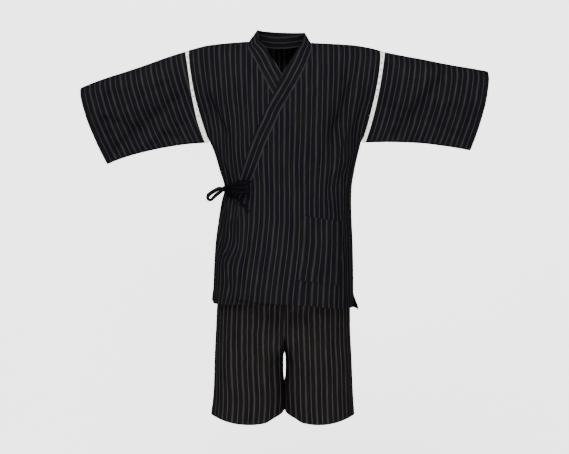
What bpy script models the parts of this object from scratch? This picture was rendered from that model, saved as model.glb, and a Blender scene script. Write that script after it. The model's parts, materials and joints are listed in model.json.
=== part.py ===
"""Jinbei pyjama set: a wrap jacket with lace at its armholes, and knee-length shorts.

The set is worn with the arms held out, and only the cloth is here. The origin is the middle of the neck
opening at shoulder level, the front faces -Y and the wearer's left is +X. Tables are in millimetres.
Each panel is a surface worked out from the sections below, thickened to a closed wall.
"""

import math

import bmesh
import bpy
import numpy as np
from mathutils import Vector

MM = 0.001  # metres in a table's millimetre
CLOTH = 1.3  # thickness of the crinkled cloth
BAND = 2.5  # thickness of the folded collar band
LACE = 1.6  # thickness of the lace
SEAM = 0.3  # distance between two pieces at a seam
SIDE_TRIM = 0.25  # what each panel gives up at a side seam, where the walls turn sharply
OVERLAP = 4.2  # how far the left front lies outside the right one
OVERLAP_ENDS_X = (122, 178)  # between these it comes back to the side seam
OVERLAP_ENDS_Z = (-28, -85)  # and between these to the shoulder
FRONT, BACK = -1, 1
LEFT, RIGHT = 1, -1

# Jacket: heights of the underarm, the tied waist and the hem, and where the hem's own line takes over.
UNDERARM = -275
HEM = -728
HEM_LINE_FROM = -480

# Rows of the jacket's panels, as shares of the armhole's height and then as heights.
ARMHOLE_ROWS = np.array([0, 0.008, 0.03, 0.07, 0.13, 0.21, 0.31, 0.42, 0.54, 0.67, 0.79, 0.90, 0.97, 1.0])
LOWER_ROWS = np.array([-302, -328, -353, -378, -410, -450, -500, -560, -620, -680, HEM])
ROWS = np.concatenate([ARMHOLE_ROWS * UNDERARM, LOWER_ROWS])
FRONT_STEPS = 11
FRONT_CROWDING = 1.45  # power that crowds a front's steps towards its side, where its section turns
BACK_OUTER = np.array([0, 0.015, 0.06, 0.15, 0.28, 0.45, 0.64, 0.83])  # steps from an armhole to the neck


def columns(names, *rows):
    """A short table: a dictionary of named columns."""
    return dict(zip(names.split(), np.array(rows, float).T))


# Line of the shoulders from the wearer's right armhole to the left one, by share of the half width.
SHOULDER = columns(
    "across z",
    (-1.00, -23),
    (-0.80, -10),
    (-0.55, -3),
    (-0.36, 0),
    (0.00, 0),
    (0.27, -3),
    (0.70, -9),
    (0.88, -16),
    (1.00, -24),
)

# Side seams below the underarms.
SIDES = columns(
    "z right left",
    (-275, -207, 212),
    (-300, -196, 206),
    (-350, -181, 195),
    (-405, -167, 187),
    (-440, -175, 186),
    (-500, -185, 188),
    (-560, -193, 191),
    (-640, -198, 193),
    (-728, -201, 194),
)

# Depth of the jacket at its middle, and the power that rounds its section in to the sides.
DEPTHS = columns(
    "z front back fullness",
    (0, 82, 74, 1.50),
    (-60, 92, 94, 1.45),
    (-110, 106, 104, 1.42),
    (-170, 113, 107, 1.38),
    (-230, 116, 103, 1.15),
    (-275, 115, 99, 0.86),
    (-310, 112, 95, 0.62),
    (-360, 107, 89, 0.52),
    (-405, 104, 87, 0.50),
    (-500, 111, 98, 0.50),
    (-600, 120, 112, 0.50),
    (-728, 127, 119, 0.50),
)
SECTION_POWER = 2.4
SHOULDER_ROUND = 60  # height over which a shoulder rounds over

# Cloth round a raised arm: half depth by share of the way from its top fold to its lowest one.
TEARDROP = columns(
    "share depth", (0, 0.98), (0.20, 1.0), (0.38, 0.90), (0.60, 0.62), (0.82, 0.34), (1.0, 0.13)
)
TOP_ROUND = 0.17
LOW_ROUND = 0.03
ARM_BULGE = 9  # how far armhole and cuff bow outwards half-way down
FOLD_STATIONS = (1, 3, 5.5, 8.5)  # rows of the arm's table where its folds start, are full, fade and end

# Top and lowest line of each arm's cloth: body edge, sleeve head, then on to the cuff.
ARMS = {
    RIGHT: columns(
        "top_x top_z low_x low_z depth",
        (-262, -23, -207, -275, 50),
        (-275.5, -27.5, -221, -277, 50),
        (-325, -43, -272, -281, 49),
        (-378, -62, -326, -289, 48),
        (-432, -80, -380, -300, 47),
        (-486, -97, -430, -313, 46),
        (-526, -111, -466, -325, 45),
        (-561, -126, -493, -336, 44),
    ),
    LEFT: columns(
        "top_x top_z low_x low_z depth",
        (262, -24, 212, -275, 50),
        (275.5, -28, 226, -276, 50),
        (325, -38, 285, -275, 49),
        (375, -47, 338, -276, 48),
        (425, -57, 388, -279, 47),
        (474, -66, 436, -285, 46),
        (518, -73, 478, -291, 45),
        (559, -81, 516, -298, 44),
    ),
}
CUFF = 7  # last row of the tables above

# Hem heights across each panel, by share of the half width.
HEM_LEFT_FRONT = columns(
    "across z", (-1, -699), (-0.65, -700), (-0.2, -708), (0.35, -714), (0.7, -727), (1, -735)
)
HEM_RIGHT_FRONT = columns("across z", (-1, -724), (-0.7, -716), (-0.4, -713), (1, -708))
HEM_BACK = columns("across z", (-1, -722), (0, -731), (0.7, -740), (1, -747))
VENT = 52  # height of the side vents
VENT_FLARE = {RIGHT: 3, LEFT: 14}  # how far the back's corners stick out past the fronts
VENT_FLARE_FROM = 0.8  # share of the half width where that starts

# Collar band on each front: seam and free edge seen from the front. One without a depth lies on the body.
LAP_LEFT = (
    (71, -3, 55, 25, 0),
    (73, -18, 48, 2, -36),
    (68, -40, 34, -24, None),
    (57, -68, 18, -52, None),
    (40, -102, -1, -82, None),
    (17, -142, -22, -127, None),
    (-11, -190, -46, -178, None),
    (-29, -230, -64, -216, None),
    (-49, -272, -84, -258, None),
    (-69, -325, -103, -312, None),
    (-90, -378, -123, -377, None),
)
LAP_RIGHT = (
    (-97, 0, -73, 33, 0),
    (-98, -18, -69, 12, -36),
    (-88, -38, -53, -16, None),
    (-75, -62, -37, -43, None),
    (-62, -88, -21, -66, None),
    (-49, -112, -8, -90, None),
    (-34, -140, 5, -119, None),
    (-8, -188, 30, -168, None),
    (24, -252, 60, -234, None),
    (52, -305, 88, -292, None),
    (76, -353, 109, -352, None),
)
LAP_LEFT_END, LAP_RIGHT_END = -378, -353  # rows at which the band ends
UPRIGHT_Z = (-12, -42)  # between these heights the standing band comes to lie on the body
BAND_STEPS = 3
# Front edges below the collar's ends.
EDGE_LEFT = ((-98, -395), (-107, -412), (-126, -462), (-130, -520), (-130, -800))
EDGE_RIGHT = ((88, -385), (95, -420), (97, -500), (97, -800))

# Back of the neck: an ellipse for the seam and one for the collar's free edge.
NECK_MIDDLE, NECK_HALF, NECK_DEPTH = -13, 84, 52
RIM_MIDDLE, RIM_HALF, RIM_DEPTH = -9, 64, 50
RIM_LEFT_Z, RIM_RIGHT_Z = 25, 33
NECK_STEPS = 12

# Largest folds: ridge or trough lines seen from the front or the back, their width and height.
FOLDS = {
    FRONT: (
        (-196, -292, -150, -372, 13, 4.0),
        (-176, -330, -140, -385, 9, -3.0),
        (196, -300, 110, -372, 16, 4.0),
        (190, -330, 120, -420, 13, -3.0),
        (-168, -440, -178, -728, 9, 3.5),
        (128, -430, 150, -735, 20, 4.0),
        (-45, -520, -60, -728, 26, 3.0),
        (60, -680, 70, -735, 22, 2.5),
    ),
    BACK: (
        (-190, -295, -80, -400, 16, 4.0),
        (192, -295, 84, -400, 16, 4.0),
        (-92, -395, -112, -735, 26, 6.0),
        (4, -420, -6, -735, 30, 5.0),
        (96, -395, 118, -740, 26, 6.0),
    ),
}
# Folds along each sleeve: share of the height at head and cuff, width and height.
SLEEVE_FOLDS = {
    FRONT: ((0.62, 0.40, 0.06, 3.0), (0.80, 0.66, 0.05, -2.5)),
    BACK: ((0.58, 0.45, 0.07, 3.0), (0.78, 0.70, 0.05, -2.0)),
}

# Lace strips.
LACE_REPEATS = 16
LACE_HOLE_ALONG = 0.17  # half sizes of a hole, as shares of a repeat
LACE_HOLE_ACROSS = 0.21
LACE_MARGIN = 0.018  # what the seams take from each side, as a share of the strip's width
LACE_LOW_MARGIN = 0.06  # and more of it where the body turns away under the arm

# Patch pocket on the left front: corners seen from the front.
POCKET_TOP = ((46, -470), (159, -490))
POCKET_BOTTOM = ((35, -643), (153, -662))
POCKET_OUT = CLOTH + SEAM + 0.3

# Shorts.
WAIST_TOP, WAIST_LOW = -512, -550
CROTCH = -800
CROTCH_SAG = 20
HIPS = columns(
    "z right left front back",
    (-512, -160, 160, 87, 83),
    (-550, -163, 163, 90, 86),
    (-650, -181, 179, 104, 104),
    (-728, -189, 184, 108, 111),
    (-800, -193, 185, 104, 106),
    (-880, -197, 189, 98, 98),
    (-970, -200, 193, 93, 93),
    (-1050, -208, 198, 89, 89),
)
LEG_HEM = columns(
    "turn z",
    (0, -1043),
    (30, -1040),
    (50, -1044),
    (72, -1051),
    (92, -1055),
    (112, -1052),
    (132, -1040),
    (180, -1027),
)
LEG_ROWS = np.array(
    [WAIST_LOW - SEAM, -590, -640, -690, -735, -770, CROTCH, -826, -860, -905, -955, -1005, -1045]
)
LEG_TOUCH = (SEAM + CLOTH) / 2  # from the middle to an inner wall where the legs touch
LEG_APART = 1.8  # and how much further it is lower down
HIP_ROUND, LEG_ROUND = 0.85, 0.8  # powers of their sections
LEG_SPLIT = 95  # height over which the hips' section becomes two legs
LEG_CORNER = 132  # turn at which the front and back of a leg give way to its inner side
OUTER_STEPS, INNER_STEPS = 18, 6
WAIST_STEPS = 36

# Side tie: its knot, and gathered tape through hand-placed points.
TIE_WIDTH = 6.0
KNOT_AT, KNOT_HALF = (-163, -46, -402), (8, 8, 10)
TIES = {
    "tie_strap": (
        (-100.8, -91.8, -395),
        (-112, -86.2, -396),
        (-127, -77.6, -398),
        (-141, -65.6, -400),
        (-155.9, -50.4, -402),
    ),
    "tie_loop_side": (
        (-171.6, -47.4, -398.8),
        (-181, -50, -401.5),
        (-193, -53, -408),
        (-204, -55, -415),
        (-210, -56, -422),
        (-209, -56, -430),
        (-202, -55, -432),
        (-193, -54, -424),
        (-183, -52, -415),
        (-170.6, -48.8, -407.2),
    ),
    "tie_end": (
        (-162.3, -47, -413.1),
        (-158, -51, -418),
        (-148, -61, -421.5),
        (-135, -74, -424),
        (-124, -84, -430),
        (-114, -93, -440),
        (-105, -99.5, -451),
        (-97, -103, -461),
    ),
}

# Wide loop of the tie: middle of its flat tape and half its width, out to the fold and back to the knot.
LOOP_TAPE = 2.0
LOOP_FRONT = (
    (-160.9, -54.3, -400, 3.5),
    (-155, -62, -398.5, 5),
    (-146, -69.5, -397, 8),
    (-133, -81, -395, 11.5),
    (-118, -91.5, -393.5, 14),
    (-104, -100.5, -393, 16),
    (-96.5, -104.5, -393, 16.5),
    (-94, -108.5, -393, 16.5),
    (-98, -112, -393, 16),
    (-108, -108, -393.5, 15),
    (-122, -98.5, -395, 12.5),
    (-137, -87, -397.5, 9),
    (-150, -74, -400.5, 6),
    (-158.5, -64, -402.5, 4),
    (-163.4, -55.0, -403, 3.5),
)

COLOURS = {
    "jacket_cloth": ((0.0120, 0.0120, 0.0150, 1), 0.85),
    "shorts_cloth": ((0.0150, 0.0130, 0.0130, 1), 0.85),
    "lace_white": ((0.86, 0.86, 0.80, 1), 0.8),
    "tie_cloth": ((0.0060, 0.0060, 0.0075, 1), 0.8),
}


def clear_scene():
    for thing in list(bpy.data.objects):
        bpy.data.objects.remove(thing, do_unlink=True)


def material(name):
    """The named Principled material, made the first time it is asked for."""
    if name in bpy.data.materials:
        return bpy.data.materials[name]
    colour, roughness = COLOURS[name]
    made = bpy.data.materials.new(name)
    made.use_nodes = True
    shader = made.node_tree.nodes["Principled BSDF"]
    shader.inputs["Base Color"].default_value = colour
    shader.inputs["Roughness"].default_value = roughness
    shader.inputs["Metallic"].default_value = 0.0
    return made


def curve(table_x, table_y, x):
    """A smooth line through a table's rows that never swings past them."""
    xs, ys = np.asarray(table_x, float), np.asarray(table_y, float)
    if xs[0] > xs[-1]:
        xs, ys = xs[::-1], ys[::-1]
    step = np.diff(xs)
    slope = np.diff(ys) / step
    tangent = np.concatenate([slope[:1], np.zeros(len(slope) - 1), slope[-1:]])
    for i in range(1, len(slope)):
        if slope[i - 1] * slope[i] > 0:
            tangent[i] = 2 * slope[i - 1] * slope[i] / (slope[i - 1] + slope[i])
    at = np.clip(np.asarray(x, float), xs[0], xs[-1])
    i = np.clip(np.searchsorted(xs, at) - 1, 0, len(step) - 1)
    t = (at - xs[i]) / step[i]
    hump = t * t * (3 - 2 * t)
    start, end = step[i] * tangent[i], step[i] * tangent[i + 1]
    return ys[i] * (1 - hump) + ys[i + 1] * hump + start * t * (1 - t) ** 2 - end * t * t * (1 - t)


def fade(x, start, end):
    """0 at start and 1 at end, smooth at both."""
    t = np.clip((x - start) / (end - start), 0, 1)
    return t * t * (3 - 2 * t)


def rounding(share):
    """A quarter circle from 0 to 1."""
    return np.sqrt(1 - (1 - np.clip(share, 0, 1)) ** 2)


def teardrop(share):
    """Depth of the cloth round an arm, from the fold on top of it to the fold that hangs below."""
    depth = curve(TEARDROP["share"], TEARDROP["depth"], share)
    return depth * rounding(share / TOP_ROUND) * rounding((1 - share) / LOW_ROUND)


def ridges(folds, x, z):
    """Height at (x, z) of folds that run along straight lines and die away at their ends."""
    total = 0.0
    for x0, z0, x1, z1, width, height in folds:
        length = math.hypot(x1 - x0, z1 - z0)
        along = ((x - x0) * (x1 - x0) + (z - z0) * (z1 - z0)) / length
        aside = ((x - x0) * (z1 - z0) - (z - z0) * (x1 - x0)) / length
        ends = fade(along, -0.1 * length, 0.3 * length) * (1 - fade(along, 0.75 * length, 1.15 * length))
        total = total + height * ends * np.exp(-((aside / width) ** 2))
    return total


def arm_point(side, station, share, face):
    """A point of the cloth round one arm, at a row of its table and a share of its height."""
    arm = ARMS[side]
    rows = np.arange(CUFF + 1)
    top_x, top_z, low_x, low_z, depth = (
        curve(rows, arm[name], station) for name in ("top_x", "top_z", "low_x", "low_z", "depth")
    )
    bulge = side * ARM_BULGE * 4 * share * (1 - share)
    start, full, fading, end = FOLD_STATIONS
    out = fade(station, start, full) * (1 - fade(station, fading, end))
    fold = 0.0
    for at_head, at_cuff, width, height in SLEEVE_FOLDS[face]:
        at = at_head + (at_cuff - at_head) * station / CUFF
        fold = fold + height * out * np.exp(-(((share - at) / width) ** 2))
    x = top_x + (low_x - top_x) * share + bulge
    z = top_z + (low_z - top_z) * share
    return np.array([x, face * (depth * teardrop(share) + fold * rounding((1 - share) / 0.2)), z])


def side_edges(height):
    """Where the jacket ends at the wearer's right and left: armhole above, side seam below."""
    if height > UNDERARM:
        share = height / UNDERARM
        return arm_point(RIGHT, 0, share, BACK)[0], arm_point(LEFT, 0, share, BACK)[0]
    return float(curve(SIDES["z"], SIDES["right"], height)), float(curve(SIDES["z"], SIDES["left"], height))


def body_point(across, height, face, hem=None):
    """A point of the jacket's body: across from -1 at the right edge to 1 at the left one."""
    right, left = side_edges(height)
    x = (left + right) / 2 + across * (left - right) / 2
    share = min(height / UNDERARM, 1)
    middle = curve(DEPTHS["z"], DEPTHS["front" if face == FRONT else "back"], height)
    edge = 0.0
    z = height
    if height > UNDERARM:
        middle = middle * rounding(-height / SHOULDER_ROUND)
        edge = ARMS[LEFT]["depth"][0] * teardrop(share)
        z = curve(SHOULDER["across"], SHOULDER["z"], across) * (1 - share) + UNDERARM * share
    elif hem is not None:
        z = height + (curve(hem["across"], hem["z"], across) - HEM) * fade(height, HEM_LINE_FROM, HEM)
    fullness = curve(DEPTHS["z"], DEPTHS["fullness"], height)
    rise = (1 - min(abs(across), 1) ** SECTION_POWER) ** fullness
    fold = ridges(FOLDS[face], x, z) * (1 - abs(across) ** 8)
    return np.array([float(x), float(face * (edge + (middle - edge) * rise + fold)), float(z)])


def place_on_body(x, z):
    """Share across and height of the section that a point seen from the front lies on."""
    across, height = 0.0, z
    for _ in range(12):
        if z > UNDERARM:
            top = curve(SHOULDER["across"], SHOULDER["z"], across)
            height = min(float(UNDERARM * (top - z) / (top - UNDERARM)), 0.0)
        right, left = side_edges(height)
        across = float(np.clip((2 * x - left - right) / (left - right), -1, 1))
    return across, height


def lift(x, z):
    """How far the left front stands off the right one, which ends short of the left side."""
    return OVERLAP * (1 - fade(x, *OVERLAP_ENDS_X)) * fade(z, *OVERLAP_ENDS_Z)


def front_y(x, z, lifted):
    across, height = place_on_body(x, z)
    return body_point(across, height, FRONT)[1] - (lift(x, z) if lifted else 0.0)


def lap(rows, lifted):
    """A collar lap's table with each missing depth filled in from the body."""
    filled = [row[:4] + (front_y(row[2], row[3], lifted) if row[4] is None else row[4],) for row in rows]
    return columns("seam_x seam_z free_x free_z free_y", *filled)


def front_edge_x(collar, edge, z):
    """Where a front panel ends: at its collar seam, then at its free edge."""
    xs = np.concatenate([collar["seam_x"], [point[0] for point in edge]])
    zs = np.concatenate([collar["seam_z"], [point[1] for point in edge]])
    return float(curve(zs, xs, z))


def grid_faces(rows, steps, flip=False, closed=False):
    """Quads of a grid of rows by steps of points, closed round if asked."""
    faces = []
    across = steps if closed else steps - 1
    for row in range(rows - 1):
        here, below = row * steps, (row + 1) * steps
        for step in range(across):
            beside = (step + 1) % steps
            quad = (here + step, here + beside, below + beside, below + step)
            faces.append(quad[::-1] if flip else quad)
    return faces


def vertex_normals(points, faces):
    normals = np.zeros_like(points)
    for face in faces:
        corners = points[list(face)]
        normal = np.cross(corners[2] - corners[0], corners[-1] - corners[1])
        for index in face:
            normals[index] += normal
    return normals / np.maximum(np.linalg.norm(normals, axis=1, keepdims=True), 1e-9)


def shared_normals(pieces):
    """Normals of pieces that meet at seams, the same on both sides of each seam."""
    sums = {}
    keys = {}
    for name, (points, faces) in pieces.items():
        keys[name] = [tuple(key) for key in np.round(points, 2)]
        for face in faces:
            corners = points[list(face)]
            normal = np.cross(corners[2] - corners[0], corners[-1] - corners[1])
            for index in face:
                key = keys[name][index]
                sums[key] = sums.get(key, np.zeros(3)) + normal
    normals = {}
    for name, found in keys.items():
        stack = np.array([sums[key] for key in found])
        normals[name] = stack / np.linalg.norm(stack, axis=1, keepdims=True)
    return normals


def trimmed(grid, first_row=0.0, last_row=0.0, first_step=0.0, last_step=0.0):
    """A grid of points whose borders are drawn in, to leave a seam's gap."""
    grid = grid.copy()
    for amount, edge, beside in (
        (first_row, np.s_[0], np.s_[1]),
        (last_row, np.s_[-1], np.s_[-2]),
        (first_step, np.s_[:, 0], np.s_[:, 1]),
        (last_step, np.s_[:, -1], np.s_[:, -2]),
    ):
        inward = grid[beside] - grid[edge]
        length = np.maximum(np.linalg.norm(inward, axis=-1, keepdims=True), 1e-6)
        reach = np.asarray(amount, float)
        grid[edge] += inward / length * (reach[:, None] if reach.ndim else reach)
    return grid


def solid(name, points, faces, look):
    """A named object from points in millimetres, with its faces pointing out."""
    mesh = bpy.data.meshes.new(name)
    mesh.from_pydata([tuple(point) for point in np.asarray(points) * MM], [], faces)
    shape = bmesh.new()
    shape.from_mesh(mesh)
    bmesh.ops.recalc_face_normals(shape, faces=shape.faces)
    shape.to_mesh(mesh)
    shape.free()
    mesh.materials.append(material(look))
    mesh.shade_smooth()
    mesh.set_sharp_from_angle(angle=math.radians(50))
    made = bpy.data.objects.new(name, mesh)
    bpy.context.collection.objects.link(made)
    return made


def wall(name, points, faces, normals, thickness, look):
    """A closed wall: a sheet moved half its thickness to each side and joined round its open edges."""
    count = len(points)
    layers = np.vstack([points + normals * thickness / 2, points - normals * thickness / 2])
    borders = {}
    for face in faces:
        for a, b in zip(face, face[1:] + face[:1]):
            borders.setdefault(frozenset((a, b)), []).append((a, b))
    rims = [pair[0] for pair in borders.values() if len(pair) == 1]
    quads = list(faces)
    quads += [tuple(index + count for index in reversed(face)) for face in faces]
    quads += [(b, a, a + count, b + count) for a, b in rims]
    return solid(name, layers, quads, look)


def panel_wall(name, grid, normals, thickness, look, flip=False, closed=False):
    rows, steps = grid.shape[:2]
    faces = grid_faces(rows, steps, flip, closed)
    return wall(name, grid.reshape(-1, 3), faces, normals, thickness, look)


def front_panel(side, collar, edge, hem):
    """Grid of one front, from its side to its collar seam and free edge."""
    grid = np.zeros((len(ROWS), FRONT_STEPS + 1, 3))
    for row, height in enumerate(ROWS):
        end = 0.0
        for _ in range(8):
            z = body_point(end, height, FRONT, hem)[2]
            right, left = side_edges(height)
            end = (2 * front_edge_x(collar, edge, z) - left - right) / (left - right)
        for step in range(FRONT_STEPS + 1):
            share = (step / FRONT_STEPS) ** FRONT_CROWDING
            point = body_point(side + (end - side) * share, height, FRONT, hem)
            if side == LEFT:
                point[1] -= lift(point[0], point[2])
            grid[row, step] = point
    return grid


def neck_seam(turn):
    """A point of the neckline at the back, on the back panel's surface."""
    x = NECK_MIDDLE + NECK_HALF * math.cos(turn)
    depth = NECK_DEPTH * math.sin(turn)
    low, high = -SHOULDER_ROUND, 0.0
    for _ in range(30):
        height = (low + high) / 2
        right, left = side_edges(height)
        across = (2 * x - left - right) / (left - right)
        if body_point(across, height, BACK)[1] > depth:
            low = height
        else:
            high = height
    return across, high


def back_panel():
    """Grid of the back, whose top row follows the shoulders and the neckline."""
    turns = np.linspace(math.pi, 0, NECK_STEPS + 1)
    neck = [neck_seam(turn) for turn in turns]
    right, left = side_edges(0.0)
    for end, way in ((0, -1), (-1, 1)):
        x = NECK_MIDDLE + way * NECK_HALF
        neck[end] = ((2 * x - left - right) / (left - right), 0.0)
    starts = [(-1 + (neck[0][0] + 1) * share, 0.0) for share in BACK_OUTER]
    starts += neck
    starts += [(1 - (1 - neck[-1][0]) * share, 0.0) for share in BACK_OUTER[::-1]]
    grid = np.zeros((len(ROWS), len(starts), 3))
    for step, (across, top) in enumerate(starts):
        for row, height in enumerate(ROWS):
            if height >= UNDERARM:
                height = top + (UNDERARM - top) * height / UNDERARM
            point = body_point(across, height, BACK, HEM_BACK)
            if abs(across) > VENT_FLARE_FROM:
                side = LEFT if across > 0 else RIGHT
                flare = fade(height, HEM + VENT, HEM) * fade(abs(across), VENT_FLARE_FROM, 1)
                point[0] += side * VENT_FLARE[side] * flare
            grid[row, step] = point
    return grid


def arm_grid(side, stations):
    """Rings round one arm, down its front and up its back."""
    shares = ARMHOLE_ROWS
    ring = [(share, FRONT) for share in shares] + [(share, BACK) for share in shares[-2:0:-1]]
    return np.array([[arm_point(side, station, share, face) for share, face in ring] for station in stations])


def collar_rows(left_front, right_front, back, left_lap, right_lap):
    """Seam point, free point, uprightness and lift of each row of the collar band."""
    rows = []

    def add(seam, table, lifted):
        at = seam[2]
        free = [float(curve(table["seam_z"], table[name], at)) for name in ("free_x", "free_y", "free_z")]
        upright = 1 - float(fade(at, *UPRIGHT_Z))
        rows.append((seam, np.array(free), upright, lifted))

    for row in range(len(ROWS) - 1, 0, -1):
        if ROWS[row] >= LAP_LEFT_END:
            add(left_front[row, -1], left_lap, True)
    for step in range(NECK_STEPS, -1, -1):
        turn = math.pi * (1 - step / NECK_STEPS)
        rim_z = RIM_LEFT_Z + (RIM_RIGHT_Z - RIM_LEFT_Z) * turn / math.pi
        free = (RIM_MIDDLE + RIM_HALF * math.cos(turn), RIM_DEPTH * math.sin(turn), rim_z)
        rows.append((back[0, len(BACK_OUTER) + step], np.array(free), 1.0, False))
    for row in range(1, len(ROWS)):
        if ROWS[row] >= LAP_RIGHT_END:
            add(right_front[row, -1], right_lap, False)
    return rows


def collar_grid(rows):
    grid = np.zeros((len(rows), BAND_STEPS + 1, 3))
    for row, (seam, free, upright, lifted) in enumerate(rows):
        for step in range(BAND_STEPS + 1):
            point = seam + (free - seam) * step / BAND_STEPS
            if 0 < step < BAND_STEPS and upright < 1:
                on_body = front_y(point[0], point[2], lifted)
                point[1] = point[1] * upright + on_body * (1 - upright)
            grid[row, step] = point
    return grid


def lace_strip(side, face):
    """Points and faces of half an armhole's lace: one opening in the middle of each repeat."""
    dense = np.linspace(0, 1, 241)
    line = np.array([arm_point(side, 0.5, share, face) for share in dense])
    run = np.concatenate([[0], np.cumsum(np.linalg.norm(np.diff(line, axis=0), axis=1))])
    lead = SEAM / 2 / run[-1]

    def place(along, across):
        """Along counts repeats, across goes from the body to the sleeve."""
        share = np.interp(lead + (1 - 2 * lead) * along / LACE_REPEATS, run / run[-1], dense)
        near, far = LACE_MARGIN + LACE_LOW_MARGIN * float(fade(share, 0.84, 0.96)), LACE_MARGIN
        return arm_point(side, near + (1 - near - far) * across, share, face)

    corners = ((0, 0), (0.5, 0), (1, 0), (1, 0.5), (1, 1), (0.5, 1), (0, 1), (0, 0.5))
    points, faces, seen = [], [], {}

    def index(along, across):
        key = (round(along, 4), round(across, 4))
        if key not in seen:
            seen[key] = len(points)
            points.append(place(along, across))
        return seen[key]

    for repeat in range(LACE_REPEATS):
        outline = [index(repeat + along, across) for along, across in corners]
        hole = []
        for along, across in corners:
            turn = math.atan2(across - 0.5, along - 0.5)
            out = LACE_HOLE_ALONG * math.cos(turn)
            hole.append(index(repeat + 0.5 + out, 0.5 + LACE_HOLE_ACROSS * math.sin(turn)))
        for corner in range(8):
            beside = (corner + 1) % 8
            faces.append((outline[corner], outline[beside], hole[beside], hole[corner]))
    return np.array(points), faces


def sample(grid, row, step):
    """A point between a grid's own points, at fractional row and step."""
    r, c = min(int(row), grid.shape[0] - 2), min(int(step), grid.shape[1] - 2)
    down, over = row - r, step - c
    top = grid[r, c] * (1 - over) + grid[r, c + 1] * over
    low = grid[r + 1, c] * (1 - over) + grid[r + 1, c + 1] * over
    return top * (1 - down) + low * down


def pocket_grid(panel, normals):
    """The pocket on the left front: the front's own points and normals inside its outline, moved out."""

    def step_at(row, line):
        """Where the front's row meets one of the pocket's upright sides."""
        points = np.array([sample(panel, row, step) for step in range(panel.shape[1])])
        (x0, z0), (x1, z1) = line
        sides = points[:, 0] - (x0 + (x1 - x0) * (points[:, 2] - z0) / (z1 - z0))
        return np.interp(0, sides[::-1], np.arange(len(points))[::-1])

    def row_at(step, line):
        """Where a line down the front meets the pocket's top or bottom."""
        points = np.array([sample(panel, row, step) for row in range(panel.shape[0])])
        (x0, z0), (x1, z1) = line
        over = points[:, 2] - (z0 + (z1 - z0) * (points[:, 0] - x0) / (x1 - x0))
        return np.interp(0, over[::-1], np.arange(len(points))[::-1])

    right_side = (POCKET_TOP[0], POCKET_BOTTOM[0])
    left_side = (POCKET_TOP[1], POCKET_BOTTOM[1])
    middle = int(np.argmin(abs(ROWS - (POCKET_TOP[0][1] + POCKET_BOTTOM[0][1]) / 2)))
    start, end = step_at(middle, left_side), step_at(middle, right_side)
    first, last = row_at(start, POCKET_TOP), row_at(start, POCKET_BOTTOM)
    rows = [None] + list(range(math.ceil(first), math.floor(last) + 1)) + [None]
    steps = list(range(math.ceil(start), math.floor(end) + 1))
    grid = np.zeros((len(rows), len(steps) + 2, 3))
    for r, row in enumerate(rows):
        line = POCKET_TOP if r == 0 else POCKET_BOTTOM
        near = row if row is not None else (first if r == 0 else last)
        across = [step_at(near, left_side)] + steps + [step_at(near, right_side)]
        for c, step in enumerate(across):
            at = row if row is not None else row_at(step, line)
            if row is None and c in (0, len(across) - 1):
                step = step_at(at, left_side if c == 0 else right_side)
            normal = sample(normals, at, step)
            grid[r, c] = sample(panel, at, step) + normal / np.linalg.norm(normal) * POCKET_OUT
    return grid


def hip_ring(side, height, turn):
    """Half of the shorts' section above the crotch; turn is 0 at the side and 180 at the middle."""
    name = "left" if side == LEFT else "right"
    half = abs(curve(HIPS["z"], HIPS[name], height))
    angle = math.radians(turn)
    depth = curve(HIPS["z"], HIPS["front" if turn >= 0 else "back"], height)
    apart = SEAM / 2 + (LEG_TOUCH - SEAM / 2) * float(fade(height, CROTCH + 32, CROTCH))
    x = apart + (half - apart) * abs(math.cos(angle / 2)) ** HIP_ROUND
    y = -math.copysign(1, angle) * depth * abs(math.sin(angle / 2)) ** HIP_ROUND
    return np.array([side * x, y])


def leg_ring(side, height, turn):
    """A leg's section; turn is 0 at the outer side, positive over the front and 180 at the inner side."""
    name = "left" if side == LEFT else "right"
    outer = abs(curve(HIPS["z"], HIPS[name], height))
    inner = LEG_TOUCH + LEG_APART * fade(height, CROTCH, CROTCH - 60)
    depth = curve(HIPS["z"], HIPS["front" if turn >= 0 else "back"], height)
    angle = math.radians(turn)
    middle, half = (outer + inner) / 2, (outer - inner) / 2
    x = middle + math.copysign(abs(math.cos(angle)) ** LEG_ROUND, math.cos(angle)) * half
    y = -math.copysign(abs(math.sin(angle)) ** LEG_ROUND, math.sin(angle)) * depth
    return np.array([side * x, y])


def leg_point(side, height, turn):
    """The shorts' surface: hips above the crotch that turn into two legs below it."""
    share = float(fade(height, CROTCH, CROTCH - LEG_SPLIT))
    leg = leg_ring(side, height, turn)
    if abs(turn) <= LEG_CORNER:
        hip = hip_ring(side, height, turn * 180 / LEG_CORNER)
    else:
        front = curve(HIPS["z"], HIPS["front"], height)
        back = curve(HIPS["z"], HIPS["back"], height)
        way = (180 - abs(turn)) / (180 - LEG_CORNER) * math.copysign(1, turn)
        hip = np.array([side * LEG_TOUCH, -(front if way > 0 else back) * way])
    x, y = hip * (1 - share) + leg * share
    drop = curve(LEG_HEM["turn"], LEG_HEM["z"], abs(turn)) - LEG_ROWS[-1]
    z = height + drop * float(fade(height, CROTCH, LEG_ROWS[-1]))
    if abs(turn) > LEG_CORNER:
        across = (180 - abs(turn)) / (180 - LEG_CORNER)
        z -= CROTCH_SAG * (1 - across**2) * (1 - float(fade(height, CROTCH, CROTCH - LEG_SPLIT)))
    return np.array([x, y, z])


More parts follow.
